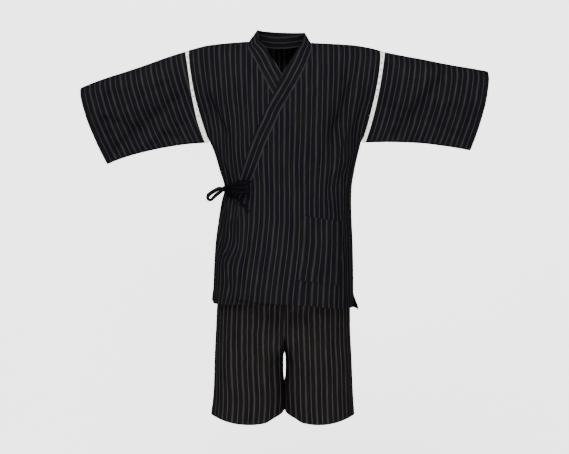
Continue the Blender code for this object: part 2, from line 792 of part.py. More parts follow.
def shorts_leg(side):
    """Points and faces of one leg: the outer part from the waist down, the inner part below the crotch."""
    outer = np.linspace(LEG_CORNER, -LEG_CORNER, OUTER_STEPS + 1)
    inner = np.linspace(-LEG_CORNER, -360 + LEG_CORNER, INNER_STEPS + 1)[1:-1]
    inner = [turn + 360 if turn < -180 else turn for turn in inner]
    points, faces, rows = [], [], []
    for height in LEG_ROWS:
        turns = list(outer) + (list(inner) if height <= CROTCH else [])
        rows.append(list(range(len(points), len(points) + len(turns))))
        points += [leg_point(side, height, turn) for turn in turns]
    for above, below in zip(rows, rows[1:]):
        closed = len(above) > OUTER_STEPS + 1
        for step in range(len(above) if closed else OUTER_STEPS):
            beside = (step + 1) % len(above)
            quad = (above[step], above[beside], below[beside], below[step])
            faces.append(quad[::-1] if side == LEFT else quad)
    return np.array(points), faces


def waistband():
    """A plain ring on top of the shorts."""
    turns = np.linspace(0, 360, WAIST_STEPS, endpoint=False)
    grid = np.zeros((2, len(turns), 3))
    for row, height in enumerate((WAIST_TOP, WAIST_LOW)):
        for step, turn in enumerate(turns):
            side = LEFT if turn < 90 or turn >= 270 else RIGHT
            around = turn if turn <= 180 else turn - 360
            part = around * 2 if side == LEFT else math.copysign(360 - abs(around) * 2, around)
            x, y = hip_ring(side, height, part)
            grid[row, step] = (x, y, height)
    normals = vertex_normals(grid.reshape(-1, 3), grid_faces(2, len(turns), closed=True))
    return panel_wall("waistband", grid, normals, BAND, "shorts_cloth", closed=True)


def knot():
    """The tie's knot: a rounded lump."""
    mesh = bpy.data.meshes.new("tie_knot")
    shape = bmesh.new()
    bmesh.ops.create_icosphere(shape, subdivisions=2, radius=1.0)
    for vertex in shape.verts:
        vertex.co = Vector([(at + co * half) * MM for at, co, half in zip(KNOT_AT, vertex.co, KNOT_HALF)])
    shape.to_mesh(mesh)
    shape.free()
    mesh.materials.append(material("tie_cloth"))
    mesh.shade_smooth()
    made = bpy.data.objects.new("tie_knot", mesh)
    bpy.context.collection.objects.link(made)


def through(points, steps):
    """A smooth line through hand-placed points."""
    given = np.array(points, float)
    ends = np.vstack([2 * given[0] - given[1], given, 2 * given[-1] - given[-2]])
    line = []
    for a, b, c, d in zip(ends, ends[1:], ends[2:], ends[3:]):
        square, cube = 2 * a - 5 * b + 4 * c - d, 3 * b - a - 3 * c + d
        for t in np.arange(steps) / steps:
            line.append(b + ((c - a) * t + square * t**2 + cube * t**3) / 2)
    return np.array(line + [given[-1]])


def tape(name, points):
    """One stretch of the tie, as a tube along its route."""
    line = through(points, 2)
    data = bpy.data.curves.new(name, "CURVE")
    data.dimensions = "3D"
    data.bevel_depth = TIE_WIDTH / 2 * MM
    data.bevel_resolution = 2
    data.use_fill_caps = True
    spline = data.splines.new("POLY")
    spline.points.add(len(line) - 1)
    for point, place in zip(spline.points, line):
        point.co = (*(place * MM), 1)
    data.materials.append(material("tie_cloth"))
    made = bpy.data.objects.new(name, data)
    bpy.context.collection.objects.link(made)


def wide_loop():
    """The loop that lies over the front: a flat tape, folded back on itself and gathered at the knot."""
    line = through(LOOP_FRONT, 2)
    grid = np.array([[(x, y, z + half * way) for way in (-1, -0.5, 0, 0.5, 1)] for x, y, z, half in line])
    normals = vertex_normals(grid.reshape(-1, 3), grid_faces(*grid.shape[:2]))
    panel_wall("tie_loop_front", grid, normals, LOOP_TAPE, "tie_cloth")


def make_jacket():
    half = SEAM / 2
    left_lap, right_lap = lap(LAP_LEFT, True), lap(LAP_RIGHT, False)
    left = front_panel(LEFT, left_lap, EDGE_LEFT, HEM_LEFT_FRONT)
    right = front_panel(RIGHT, right_lap, EDGE_RIGHT, HEM_RIGHT_FRONT)
    back = back_panel()
    left[0, -1] = back[0, len(BACK_OUTER) + NECK_STEPS]
    right[0, -1] = back[0, len(BACK_OUTER)]
    stations = range(1, CUFF + 1)
    arms = {side: arm_grid(side, stations) for side in (LEFT, RIGHT)}
    bands = {side: arm_grid(side, (0, 1)) for side in (LEFT, RIGHT)}
    skins = {"left": (left, False, False), "right": (right, True, False), "back": (back, False, False)}
    for side in (LEFT, RIGHT):
        skins["sleeve", side] = (arms[side], side == RIGHT, True)
        skins["band", side] = (bands[side], side == RIGHT, True)
    normals = shared_normals(
        {
            name: (grid.reshape(-1, 3), grid_faces(*grid.shape[:2], flip, closed))
            for name, (grid, flip, closed) in skins.items()
        }
    )
    front_normals = normals["left"].reshape(left.shape)
    for name, front in (("left", left), ("right", right)):
        panel = trimmed(front, first_row=half, first_step=SIDE_TRIM, last_step=half)
        panel_wall(f"jacket_front_{name}", panel, normals[name], CLOTH, "jacket_cloth", flip=name == "right")
    panel = trimmed(back, first_row=half, first_step=SIDE_TRIM, last_step=SIDE_TRIM)
    panel_wall("jacket_back", panel, normals["back"], CLOTH, "jacket_cloth")
    for side, word in ((LEFT, "left"), (RIGHT, "right")):
        sleeve = trimmed(arms[side], first_row=half)
        outward = normals["sleeve", side]
        panel_wall(f"sleeve_{word}", sleeve, outward, CLOTH, "jacket_cloth", side == RIGHT, closed=True)
        for face, part in ((FRONT, "front"), (BACK, "back")):
            points, faces = lace_strip(side, face)
            wall(f"lace_{word}_{part}", points, faces, vertex_normals(points, faces), LACE, "lace_white")
    rows = collar_rows(left, right, back, left_lap, right_lap)
    grid = collar_grid(rows)
    upright = np.array([row[2] for row in rows])
    normals = vertex_normals(grid.reshape(-1, 3), grid_faces(*grid.shape[:2]))
    grid = trimmed(grid, first_step=half + (CLOTH / 2 + SEAM) * upright)
    panel_wall("collar", grid, normals, BAND, "jacket_cloth")
    pocket = pocket_grid(left, front_normals)
    normals = vertex_normals(pocket.reshape(-1, 3), grid_faces(*pocket.shape[:2]))
    panel_wall("pocket", pocket, normals, CLOTH, "jacket_cloth")


def make_shorts():
    for side, word in ((LEFT, "left"), (RIGHT, "right")):
        points, faces = shorts_leg(side)
        wall(f"shorts_{word}", points, faces, vertex_normals(points, faces), CLOTH, "shorts_cloth")
    waistband()


def make_tie():
    knot()
    wide_loop()
    for name, points in TIES.items():
        tape(name, points)


clear_scene()
make_jacket()
make_shorts()
make_tie()
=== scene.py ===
# %% [markdown]
# # A jinbei pyjama set
# A jinbei is a Japanese summer set: a short wrap jacket tied at the side, and knee-length shorts. The sleeves
# hang on strips of openwork lace, which let air in. This lesson dresses the plain solids of the frame. The
# cloth keeps their form, and gets a finer mesh, creases, a woven pinstripe, hems and stitches.

# %% Start: load the frame and keep its size
import json
import math

import bmesh
import bpy
import numpy as np
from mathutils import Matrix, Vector
from mathutils.bvhtree import BVHTree

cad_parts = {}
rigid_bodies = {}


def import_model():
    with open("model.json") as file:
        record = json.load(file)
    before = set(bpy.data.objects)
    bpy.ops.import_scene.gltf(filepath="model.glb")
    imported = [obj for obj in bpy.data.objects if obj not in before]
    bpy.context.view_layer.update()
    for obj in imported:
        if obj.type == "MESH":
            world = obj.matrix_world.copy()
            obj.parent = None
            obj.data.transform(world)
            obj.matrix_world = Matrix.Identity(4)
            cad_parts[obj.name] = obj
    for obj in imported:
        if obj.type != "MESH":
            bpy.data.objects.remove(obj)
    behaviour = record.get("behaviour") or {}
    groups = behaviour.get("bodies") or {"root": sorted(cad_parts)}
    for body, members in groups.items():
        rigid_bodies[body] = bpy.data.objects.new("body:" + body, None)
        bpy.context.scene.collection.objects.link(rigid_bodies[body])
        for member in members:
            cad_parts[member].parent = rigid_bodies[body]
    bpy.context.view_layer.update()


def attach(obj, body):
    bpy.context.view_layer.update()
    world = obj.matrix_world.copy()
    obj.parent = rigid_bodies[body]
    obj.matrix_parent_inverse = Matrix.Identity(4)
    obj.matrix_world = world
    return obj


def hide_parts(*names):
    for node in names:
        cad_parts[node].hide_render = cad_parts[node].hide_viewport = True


for thing in list(bpy.data.objects):
    bpy.data.objects.remove(thing, do_unlink=True)
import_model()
MM = 0.001  # metres in a table's millimetre
FRONT, BACK = -1, 1
LEFT, RIGHT = 1, -1

# %% [markdown]
# The photo was taken from about three metres, level with the chest, so the camera has a long lens and looks
# down by about six degrees. It comes first, because every later crease and stripe is judged from it.

# %% Camera
CAMERA_AT = Vector((0.0, -3.1, -0.20))
LOOK_AT = Vector((0.0, 0.0, -0.5124))
LENS = 70.4  # mm, on a sensor 36 mm wide
camera_data = bpy.data.cameras.new("camera")
camera_data.lens = LENS
camera = bpy.data.objects.new("camera", camera_data)
camera.location = CAMERA_AT
camera.rotation_euler = (LOOK_AT - CAMERA_AT).to_track_quat("-Z", "Y").to_euler()
bpy.context.collection.objects.link(camera)
bpy.context.scene.camera = camera
look = LOOK_AT - CAMERA_AT
print("camera looks down by", round(math.degrees(math.asin(-look.z / look.length)), 1), "degrees")

# %% [markdown]
# ## A helper for shaders
# A shader is a graph of nodes, and wiring it by hand hides the sums in it. This class wraps an output socket,
# so that `1 - mask` or `u / spacing` can be written as Python, and each operator adds its own Math node.


# %% Sockets that can be added and multiplied
class Sock:
    """An output socket in an expression."""

    def __init__(self, shader, socket):
        self.shader = shader
        self.socket = socket

    def math(self, operation, *others):
        return self.shader.node("Math", {"operation": operation}, dict(enumerate((self, *others))))

    def output(self, index):
        """Another output of the same node."""
        return Sock(self.shader, self.socket.node.outputs[index])

    def __add__(self, other):
        return self.math("ADD", other)

    def __mul__(self, other):
        return self.math("MULTIPLY", other)

    def __sub__(self, other):
        return self.math("SUBTRACT", other)

    def __rsub__(self, other):
        return (self * -1) + other

    __radd__ = __add__
    __rmul__ = __mul__


class Shader:
    """A new material or world, and the one method that adds its nodes."""

    def __init__(self, name, blocks=bpy.data.materials):
        self.material = blocks.new(name)
        self.material.use_nodes = True
        self.tree = self.material.node_tree
        self.tree.nodes.clear()

    def node(self, kind, settings=None, inputs=None, output=0):
        made = self.tree.nodes.new("ShaderNode" + kind)
        for name, value in (settings or {}).items():
            setattr(made, name, value)
        for name, value in (inputs or {}).items():
            if isinstance(value, Sock):
                self.tree.links.new(value.socket, made.inputs[name])
            else:
                made.inputs[name].default_value = value
        return Sock(self, made.outputs[output]) if made.outputs else None

    def ramp(self, value, start, end):
        """0 below start and 1 above end, smooth between them."""
        settings = {"interpolation_type": "SMOOTHSTEP"}
        return self.node("MapRange", settings, {"Value": value, "From Min": start, "From Max": end})

    def cloud(self, grain, scale, detail):
        """Soft noise on the grain, with its own scale across and along the threads, in 1/m."""
        stretched = self.node("Mapping", None, {"Vector": grain, "Scale": (*scale, 1.0)})
        return self.node("TexNoise", None, {"Vector": stretched, "Scale": 1.0, "Detail": detail})

    def blend(self, mask, first, second):
        """A colour between two, by a mask from 0 to 1."""
        settings = {"data_type": "RGBA"}
        return self.node("Mix", settings, {0: mask, 6: first, 7: second}, 2)

    def finish(self, colour, roughness, height, depth, **constants):
        """The Principled shader, with a bump from a height, and its output."""
        bump = self.node("Bump", None, {"Height": height, "Distance": depth, "Strength": 1.0})
        inputs = {"Base Color": colour, "Roughness": roughness, "Normal": bump}
        inputs.update({name.replace("_", " "): value for name, value in constants.items()})
        surface = self.node("BsdfPrincipled", None, inputs)
        self.node("OutputMaterial", None, {"Surface": surface})
        return self.material


# %% [markdown]
# ## The cloth
# Jinbei cotton is woven with some slack warp threads, so it puckers into a fine crinkle along the thread. The
# pinstripes are a few lighter warp threads, and every second stripe is brighter. A stripe belongs to the
# thread and not to the place in the room, so it is drawn from a UV map whose first coordinate is the distance
# across the threads and whose second is the distance along them, both in metres. The yarn is uneven, so noise
# that is stretched along the threads breaks each stripe into flecks, and wider noise wears it.

# %% Pinstriped cotton
STRIPE_APART = 0.0147
STRIPE_HALF = 0.0012
STRIPE_DRIFT = 0.0022  # how far a stripe wanders from its straight line
THREAD = 0.00042  # distance between two warp threads
CRINKLE_DEEP = 0.0007


def striped_cotton(name, dark, warm, stripe, bright):
    """Two tones of ground in soft patches, and two kinds of stripe that take turns."""
    shader = Shader(name)
    grain = shader.node("UVMap", {"uv_map": "grain"})
    across = shader.node("SeparateXYZ", None, {0: grain})
    along = across.output(1)
    drift = shader.cloud(grain, (9.0, 26.0), 1.0)
    patches = shader.cloud(grain, (28.0, 9.0), 3.0)
    crinkle = shader.cloud(grain, (700.0, 90.0), 2.0)
    slub = shader.cloud(grain, (420.0, 38.0), 3.0)
    worn = shader.cloud(grain, (60.0, 17.0), 2.0)
    across = across + STRIPE_DRIFT * (drift - 0.5)
    from_stripe = across.math("PINGPONG", STRIPE_APART / 2)
    second = shader.ramp(across.math("PINGPONG", STRIPE_APART), STRIPE_APART * 0.45, STRIPE_APART * 0.55)
    half = STRIPE_HALF * (2.0 - 1.2 * second)
    line = 1 - shader.ramp(from_stripe, 0.4 * half, 1.5 * half)
    warp = (across * (math.tau / THREAD)).math("SINE")
    weft = (along * (math.tau / THREAD)).math("SINE")
    ground = shader.blend(shader.ramp(patches, 0.35, 0.68), dark, warm)
    yarn = shader.blend(second, stripe, bright)
    fleck = (0.25 + 0.75 * slub) * (0.45 + 1.0 * worn)
    colour = shader.blend(line * fleck, ground, yarn)
    roughness = 0.92 - 0.1 * line
    height = 0.75 * crinkle + 0.06 * warp * weft + 0.10 * line
    return shader.finish(colour, roughness, height, CRINKLE_DEEP, Specular_IOR_Level=0.0)


JACKET_CLOTH = striped_cotton(
    "jacket_cloth",
    (0.0038, 0.0036, 0.0052, 1), (0.0049, 0.0048, 0.0051, 1), (0.0230, 0.0224, 0.0254, 1),
    (0.0365, 0.0357, 0.0400, 1),
)
SHORTS_CLOTH = striped_cotton(
    "shorts_cloth",
    (0.0048, 0.0043, 0.0044, 1), (0.0064, 0.0056, 0.0054, 1), (0.0310, 0.0286, 0.0292, 1),
    (0.0500, 0.0470, 0.0476, 1),
)
print("two striped cottons, a stripe every", STRIPE_APART, "m")

# %% [markdown]
# The lace is off-white cotton thread, the tie is plain black cotton, and so is the sewing thread. All show
# their fibres as a fine ripple, whose colour goes from a shade to the full colour. Such dark cotton has no
# gloss: a highlight at grazing angles would draw a pale rim round it, so its specular level is nought.


# %% Lace, tie and sewing thread
def plain_cotton(name, colour, shade, ripple, depth, roughness, specular):
    """Plain cotton with a ripple of so many waves a metre and of that depth in metres."""
    shader = Shader(name)
    grain = shader.node("UVMap", {"uv_map": "grain"})
    fine = shader.node("Mapping", None, {"Vector": grain, "Scale": (ripple, ripple * 0.6, 1.0)})
    twist = shader.node("TexNoise", None, {"Vector": fine, "Scale": 1.0, "Detail": 3.0})
    mixed = shader.blend(shader.ramp(twist, 0.3, 0.7), shade, colour)
    return shader.finish(mixed, roughness - 0.08 * twist, twist, depth, Specular_IOR_Level=specular)


LACE_COTTON = plain_cotton(
    "lace_white", (0.80, 0.79, 0.74, 1), (0.62, 0.61, 0.56, 1), 1500.0, 0.0006, 0.9, 0.2
)
TIE_COTTON = plain_cotton(
    "tie_cloth", (0.0044, 0.0043, 0.0062, 1), (0.0016, 0.0016, 0.0022, 1), 900.0, 0.0005, 0.9, 0.0
)
THREAD_COTTON = plain_cotton(
    "thread", (0.006, 0.006, 0.007, 1), (0.003, 0.003, 0.004, 1), 4000.0, 0.0001, 0.85, 0.0
)

# %% [markdown]
# ## The form of the cloth
# The frame's solids are rings and sections worked out from short tables. The same tables give the shells
# here, in many more steps, so each shell lies on its solid. A table has named columns, in millimetres, and a
# smooth curve runs through its rows.


# %% Tables and smooth curves
def columns(names, *rows):
    """A short table: a dictionary of named columns."""
    return dict(zip(names.split(), np.array(rows, float).T))


def curve(table_x, table_y, x):
    """A smooth line through a table's rows that never swings past them."""
    xs, ys = np.asarray(table_x, float), np.asarray(table_y, float)
    if xs[0] > xs[-1]:
        xs, ys = xs[::-1], ys[::-1]
    step = np.diff(xs)
    slope = np.diff(ys) / step
    inner = slope[:-1] * slope[1:] > 0
    total = np.where(inner, slope[:-1] + slope[1:], 1)
    tangent = np.concatenate([slope[:1], np.where(inner, 2 * slope[:-1] * slope[1:] / total, 0), slope[-1:]])
    at = np.clip(np.asarray(x, float), xs[0], xs[-1])
    i = np.clip(np.searchsorted(xs, at) - 1, 0, len(step) - 1)
    t = (at - xs[i]) / step[i]
    hump = t * t * (3 - 2 * t)
    start, end = step[i] * tangent[i], step[i] * tangent[i + 1]
    return ys[i] * (1 - hump) + ys[i + 1] * hump + start * t * (1 - t) ** 2 - end * t * t * (1 - t)


def fade(x, start, end):
    """0 at start and 1 at end, smooth at both."""
    t = np.clip((np.asarray(x, float) - start) / (end - start), 0, 1)
    return t * t * (3 - 2 * t)


def rounding(share):
    """A quarter circle from 0 to 1."""
    return np.sqrt(1 - (1 - np.clip(share, 0, 1)) ** 2)


def refined(values, times):
    """The same rows with more between them."""
    values = np.asarray(values, float)
    return np.interp(np.arange((len(values) - 1) * times + 1) / times, np.arange(len(values)), values)


# %% [markdown]
# The jacket's sizes: heights of the underarm and the hem, the line of the shoulders, the side seams, and how
# deep the body is from front to back. The numbers are a size M jinbei's, with a back length of about 74 cm.

# %% Sizes of the jacket
CLOTH = 1.3  # thickness of the crinkled cloth
BAND = 2.5  # thickness of the folded collar band
SEAM = 0.3  # distance between two pieces at a seam
SIDE_TRIM = 0.25  # what each panel gives up at a side seam
OVERLAP = 4.2  # how far the left front lies outside the right one
OVERLAP_ENDS_X = (122, 178)  # between these it comes back to the side seam
OVERLAP_ENDS_Z = (-28, -85)  # and between these to the shoulder
UNDERARM, HEM, HEM_LINE_FROM = -275, -728, -480
ARMHOLE_ROWS = np.array([0, 0.008, 0.03, 0.07, 0.13, 0.21, 0.31, 0.42, 0.54, 0.67, 0.79, 0.90, 0.97, 1.0])
LOWER_ROWS = np.array([-302, -328, -353, -378, -410, -450, -500, -560, -620, -680, HEM])
ROWS = np.concatenate([refined(ARMHOLE_ROWS, 5) * UNDERARM, refined([UNDERARM, *LOWER_ROWS], 9)[1:]])
SHOULDER = columns(
    "across z",
    (-1.00, -23), (-0.80, -10), (-0.55, -3), (-0.36, 0), (0.00, 0), (0.27, -3), (0.70, -9), (0.88, -16),
    (1.00, -24),
)

SIDES = columns(
    "z right left",
    (-275, -207, 212), (-300, -196, 206), (-350, -181, 195), (-405, -167, 187), (-440, -175, 186),
    (-500, -185, 188), (-560, -193, 191), (-640, -198, 193), (-728, -201, 194),
)

DEPTHS = columns(
    "z front back fullness",
    (0, 82, 74, 1.50), (-60, 92, 94, 1.45), (-110, 106, 104, 1.42), (-170, 113, 107, 1.38),
    (-230, 116, 103, 1.15), (-275, 115, 99, 0.86), (-310, 112, 95, 0.62), (-360, 107, 89, 0.52),
    (-405, 104, 87, 0.50), (-500, 111, 98, 0.50), (-600, 120, 112, 0.50), (-728, 127, 119, 0.50),
)
SECTION_POWER = 2.4
SHOULDER_ROUND = 60  # height over which a shoulder rounds over

HEM_LEFT_FRONT = columns(
    "across z", (-1, -699), (-0.65, -700), (-0.2, -708), (0.35, -714), (0.7, -727), (1, -735)
)

HEM_RIGHT_FRONT = columns("across z", (-1, -724), (-0.7, -716), (-0.4, -713), (1, -708))
HEM_BACK = columns("across z", (-1, -722), (0, -731), (0.7, -740), (1, -747))

VENT = 52  # height of the side vents
VENT_FLARE = {RIGHT: 3, LEFT: 14}  # how far the back's corners stick out past the fronts
VENT_FLARE_FROM = 0.8  # share of the half width where that starts
print("back length of the jacket", SHOULDER["z"].max() - HEM_BACK["z"].min(), "mm")

# %% [markdown]
# The sleeves are straight tubes of cloth round raised arms. Seen from the side each one is a drop shape: it
# lies over the arm and hangs to a fold below it. A row of the table gives the top and the lowest line of the
# cloth at one station, from the body's edge through the sleeve's head to the cuff.

# %% Sizes of the sleeves
TEARDROP = columns(
    "share depth", (0, 0.98), (0.20, 1.0), (0.38, 0.90), (0.60, 0.62), (0.82, 0.34), (1.0, 0.13)
)
TOP_ROUND, LOW_ROUND = 0.17, 0.03  # shares of the height over which its two folds round over
ARM_BULGE = 9  # how far armhole and cuff bow outwards half-way down
FOLD_STATIONS = (1, 3, 5.5, 8.5)  # rows of the arm's table where its folds start, are full, fade and end

# Top and lowest line of each arm's cloth: body edge, sleeve head, then on to the cuff.
ARMS = {
    RIGHT: columns(
        "top_x top_z low_x low_z depth",
        (-262, -23, -207, -275, 50), (-275.5, -27.5, -221, -277, 50), (-325, -43, -272, -281, 49),
        (-378, -62, -326, -289, 48), (-432, -80, -380, -300, 47), (-486, -97, -430, -313, 46),
        (-526, -111, -466, -325, 45), (-561, -126, -493, -336, 44),
    ),
    LEFT: columns(
        "top_x top_z low_x low_z depth",
        (262, -24, 212, -275, 50), (275.5, -28, 226, -276, 50), (325, -38, 285, -275, 49),
        (375, -47, 338, -276, 48), (425, -57, 388, -279, 47), (474, -66, 436, -285, 46),
        (518, -73, 478, -291, 45), (559, -81, 516, -298, 44),
    ),
}

CUFF = 7  # last row of the tables above

# %% [markdown]
# Cloth that is worn is never smooth. The largest folds are in the frame's solids too. The finer creases are
# this lesson's own, placed where the photo shows them. A crease of the body is a straight line from
# one point to another, a half width and a height, negative for a trough. A crease of a sleeve runs from a
# share of its height at the head to another at the cuff.

# %% Folds and creases
FOLDS = {
    FRONT: (
        (-196, -292, -150, -372, 13, 4.0), (-176, -330, -140, -385, 9, -3.0),
        (196, -300, 110, -372, 16, 4.0), (190, -330, 120, -420, 13, -3.0), (-168, -440, -178, -728, 9, 3.5),
        (128, -430, 150, -735, 20, 4.0), (-45, -520, -60, -728, 26, 3.0), (60, -680, 70, -735, 22, 2.5),
    ),
    BACK: (
        (-190, -295, -80, -400, 16, 4.0), (192, -295, 84, -400, 16, 4.0), (-92, -395, -112, -735, 26, 6.0),
        (4, -420, -6, -735, 30, 5.0), (96, -395, 118, -740, 26, 6.0),
    ),
}
SLEEVE_FOLDS = {
    FRONT: ((0.62, 0.40, 0.06, 3.0), (0.80, 0.66, 0.05, -2.5)),
    BACK: ((0.58, 0.45, 0.07, 3.0), (0.78, 0.70, 0.05, -2.0)),
}

CREASES = {
    FRONT: (
        (-190, -290, -166, -405, 6, -4.5), (-166, -405, -175, -479, 6, -5.0),
        (-175, -479, -186, -600, 6, -5.0), (206, -70, 122, -280, 14, -8.5),
        (134, -260, 124, -430, 12, -5.0), (216, -150, 130, -330, 9, 3.0), (176, -60, 168, -150, 11, -3.0),
        (150, -330, 178, -420, 7, -2.6), (122, -150, 60, -420, 16, 3.2), (94, -220, 40, -430, 12, -3.4),
        (58, -260, 20, -520, 17, -2.4), (-210, -150, -156, -262, 10, -7.5),
        (-232, -200, -180, -300, 7, 3.0), (-206, -100, -160, -250, 12, 2.6),
        (-196, -196, -148, -330, 12, -3.2), (-150, -70, -128, -250, 13, -2.4),
        (-101, -14, -93, -100, 7, -5.0), (-164, -330, -150, -396, 5, -2.8),
        (-150, -300, -143, -390, 6, 2.4), (-146, -398, -96, -346, 5, 2.8), (-140, -398, -70, -372, 6, -2.4),
        (-150, -404, -92, -440, 5, 3.0), (-154, -408, -118, -486, 5, -3.0),
        (-158, -410, -142, -520, 5, 2.8), (-170, -412, -176, -600, 8, -5.0),
        (-128, -470, -158, -600, 8, 3.4), (-140, -500, -164, -600, 7, -3.4),
        (-164, -600, -146, -700, 7, -3.0), (-172, -560, -150, -660, 7, 3.0),
        (-112, -520, -118, -728, 10, -2.4), (20, -430, -6, -735, 20, -3.0), (-80, -450, -92, -700, 14, 2.2),
        (172, -420, 178, -700, 8, -3.0), (100, -640, 104, -740, 12, -2.4), (158, -560, 166, -740, 8, 3.0),
        (186, -300, 180, -480, 7, -3.0), (64, -460, 150, -500, 10, -2.2),
    ),
    BACK: (
        (-214, -150, -120, -330, 12, -3.0), (214, -150, 118, -330, 12, -3.0),
        (-60, -60, -70, -300, 20, 2.0), (58, -70, 74, -320, 20, 2.0), (-150, -330, -40, -420, 8, -2.5),
        (150, -340, 40, -424, 8, -2.5), (-140, -430, -150, -735, 14, -3.0),
        (-46, -440, -56, -735, 14, -2.5), (44, -430, 50, -735, 13, -2.5), (146, -420, 152, -740, 13, -3.0),
    ),
}
SLEEVE_CREASES = {
    (RIGHT, FRONT): (
        (0.30, 0.10, 0.045, 3.2), (0.40, 1.06, 0.065, -8.5), (0.62, 1.20, 0.045, 4.2),
        (1.10, 0.34, 0.045, -4.6), (0.20, 0.60, 0.035, -3.0),
    ),
    (LEFT, FRONT): (
        (1.50, -0.90, 0.110, -8.5), (1.20, -1.10, 0.070, 3.6), (0.30, 0.10, 0.040, 2.6),
        (0.55, 0.95, 0.045, -3.6), (0.86, 0.62, 0.035, 2.4),
    ),
    (RIGHT, BACK): ((0.88, 0.34, 0.050, -4.0), (0.42, 0.24, 0.045, 3.2), (0.26, 0.50, 0.040, -3.0)),
    (LEFT, BACK): ((0.80, 0.44, 0.055, -4.0), (0.36, 0.20, 0.045, 3.0), (0.22, 0.58, 0.040, -2.6)),
}
print("creases:", sum(len(rows) for table in (CREASES, SLEEVE_CREASES) for rows in table.values()))

# %% [markdown]
# A point of a sleeve comes from its station and from its share of the height. A point of the body comes from
# how far across it is and from its row. Both work on whole grids at once, which numpy does in one step.


# %% Surfaces of the sleeves and the body
def ridges(folds, x, z):
    """Height at (x, z) of folds that run along straight lines and die away at their ends."""
    total = 0.0
    for x0, z0, x1, z1, width, height in folds:
        length = math.hypot(x1 - x0, z1 - z0)
        along = ((x - x0) * (x1 - x0) + (z - z0) * (z1 - z0)) / length
        aside = ((x - x0) * (z1 - z0) - (z - z0) * (x1 - x0)) / length
        ends = fade(along, -0.1 * length, 0.3 * length) * (1 - fade(along, 0.75 * length, 1.15 * length))
        total = total + height * ends * np.exp(-((aside / width) ** 2))
    return total


def teardrop(share):
    """Depth of the cloth round an arm, from the fold on top of it to the fold that hangs below."""
    depth = curve(TEARDROP["share"], TEARDROP["depth"], share)
    return depth * rounding(share / TOP_ROUND) * rounding((1 - share) / LOW_ROUND)


def arm_surface(side, station, share, face):
    """Points of the cloth round one arm, at rows of its table and shares of its height."""
    arm, stations = ARMS[side], np.arange(CUFF + 1)
    names = ("top_x", "top_z", "low_x", "low_z", "depth")
    top_x, top_z, low_x, low_z, depth = (curve(stations, arm[name], station) for name in names)
    start, full, fading, end = FOLD_STATIONS
    out = fade(station, start, full) * (1 - fade(station, fading, end))
    fold = 0.0
    for at_head, at_cuff, width, height in SLEEVE_FOLDS[face]:
        at = at_head + (at_cuff - at_head) * station / CUFF
        fold = fold + height * out * np.exp(-(((share - at) / width) ** 2))
    x = top_x + (low_x - top_x) * share + side * ARM_BULGE * 4 * share * (1 - share)
    z = top_z + (low_z - top_z) * share
    y = face * (depth * teardrop(share) + fold * rounding((1 - share) / 0.2))
    return np.stack(np.broadcast_arrays(x, y, z), -1)


def side_edges(height):
    """Where the jacket ends at the wearer's right and left: armhole above, side seam below."""
    share = np.clip(np.asarray(height, float) / UNDERARM, 0, 1)
    edges = []
    for side, name in ((RIGHT, "right"), (LEFT, "left")):
        armhole = arm_surface(side, 0, share, BACK)[..., 0]
        edges.append(np.where(height > UNDERARM, armhole, curve(SIDES["z"], SIDES[name], height)))
    return edges


def body_surface(across, height, face, hem=None):
    """Points of the jacket's body: across from -1 at the right edge to 1 at the left one."""
    across, height = np.broadcast_arrays(np.asarray(across, float), np.asarray(height, float))
    right, left = side_edges(height)
    x = (left + right) / 2 + across * (left - right) / 2
    share = np.clip(height / UNDERARM, 0, 1)
    above = height > UNDERARM
    middle = curve(DEPTHS["z"], DEPTHS["front" if face == FRONT else "back"], height)
    middle = middle * np.where(above, rounding(-height / SHOULDER_ROUND), 1)
    # The edge of the armhole is a drop shape, and a step away from it the cloth is calmer.
    calm = curve(TEARDROP["share"], TEARDROP["depth"], share) * rounding(share / TOP_ROUND)
    calm = calm * (1 - fade(share, 0.45, 1.0))
    near_side = np.minimum(abs(across), 1) ** 14
    edge = calm + (teardrop(share) - calm) * near_side
    edge = np.where(above, ARMS[LEFT]["depth"][0] * edge, 0)
    shoulder = curve(SHOULDER["across"], SHOULDER["z"], across)
    z = np.where(above, shoulder * (1 - share) + UNDERARM * share, height)
    if hem is not None:
        drop = (curve(hem["across"], hem["z"], across) - HEM) * fade(height, HEM_LINE_FROM, HEM)
        z = z + np.where(above, 0, drop)
    fullness = curve(DEPTHS["z"], DEPTHS["fullness"], height)
    rise = (1 - np.minimum(abs(across), 1) ** SECTION_POWER) ** fullness
    fold = ridges(FOLDS[face], x, z) * (1 - abs(across) ** 8)
    return np.stack([x, face * (edge + (middle - edge) * rise + fold), z], -1)


def lift(x, z):
    """How far the left front stands off the right one, which ends short of the left side."""
    return OVERLAP * (1 - fade(x, *OVERLAP_ENDS_X)) * fade(z, *OVERLAP_ENDS_Z)


def front_y(x, z, lifted):
    """Depth of the front at points seen from the front."""
    across = np.zeros_like(x)
    for _ in range(12):
        top = curve(SHOULDER["across"], SHOULDER["z"], across)
        height = np.where(z > UNDERARM, np.minimum(UNDERARM * (top - z) / (top - UNDERARM), 0), z)
        right, left = side_edges(height)
        across = np.clip((2 * x - left - right) / (left - right), -1, 1)
    return body_surface(across, height, FRONT)[..., 1] - (lift(x, z) if lifted else 0.0)


chest = front_y(np.zeros(1), np.array([-200.0]), True)[0]
print("the chest is", -round(float(chest)), "mm before the middle")

# %% [markdown]
# ## From a grid of points to a piece of cloth
# A real piece of cloth is a wall a little over a millimetre thick. `piece` moves its points half that to each
# side and joins the two layers round the open edges. The normals are shared between pieces that meet at a
# seam, so that their walls meet too. The grain UV comes in as an array beside the points. A tube is a grid
# whose last step lies on its first one: its points are welded, and only its grain keeps the cut.


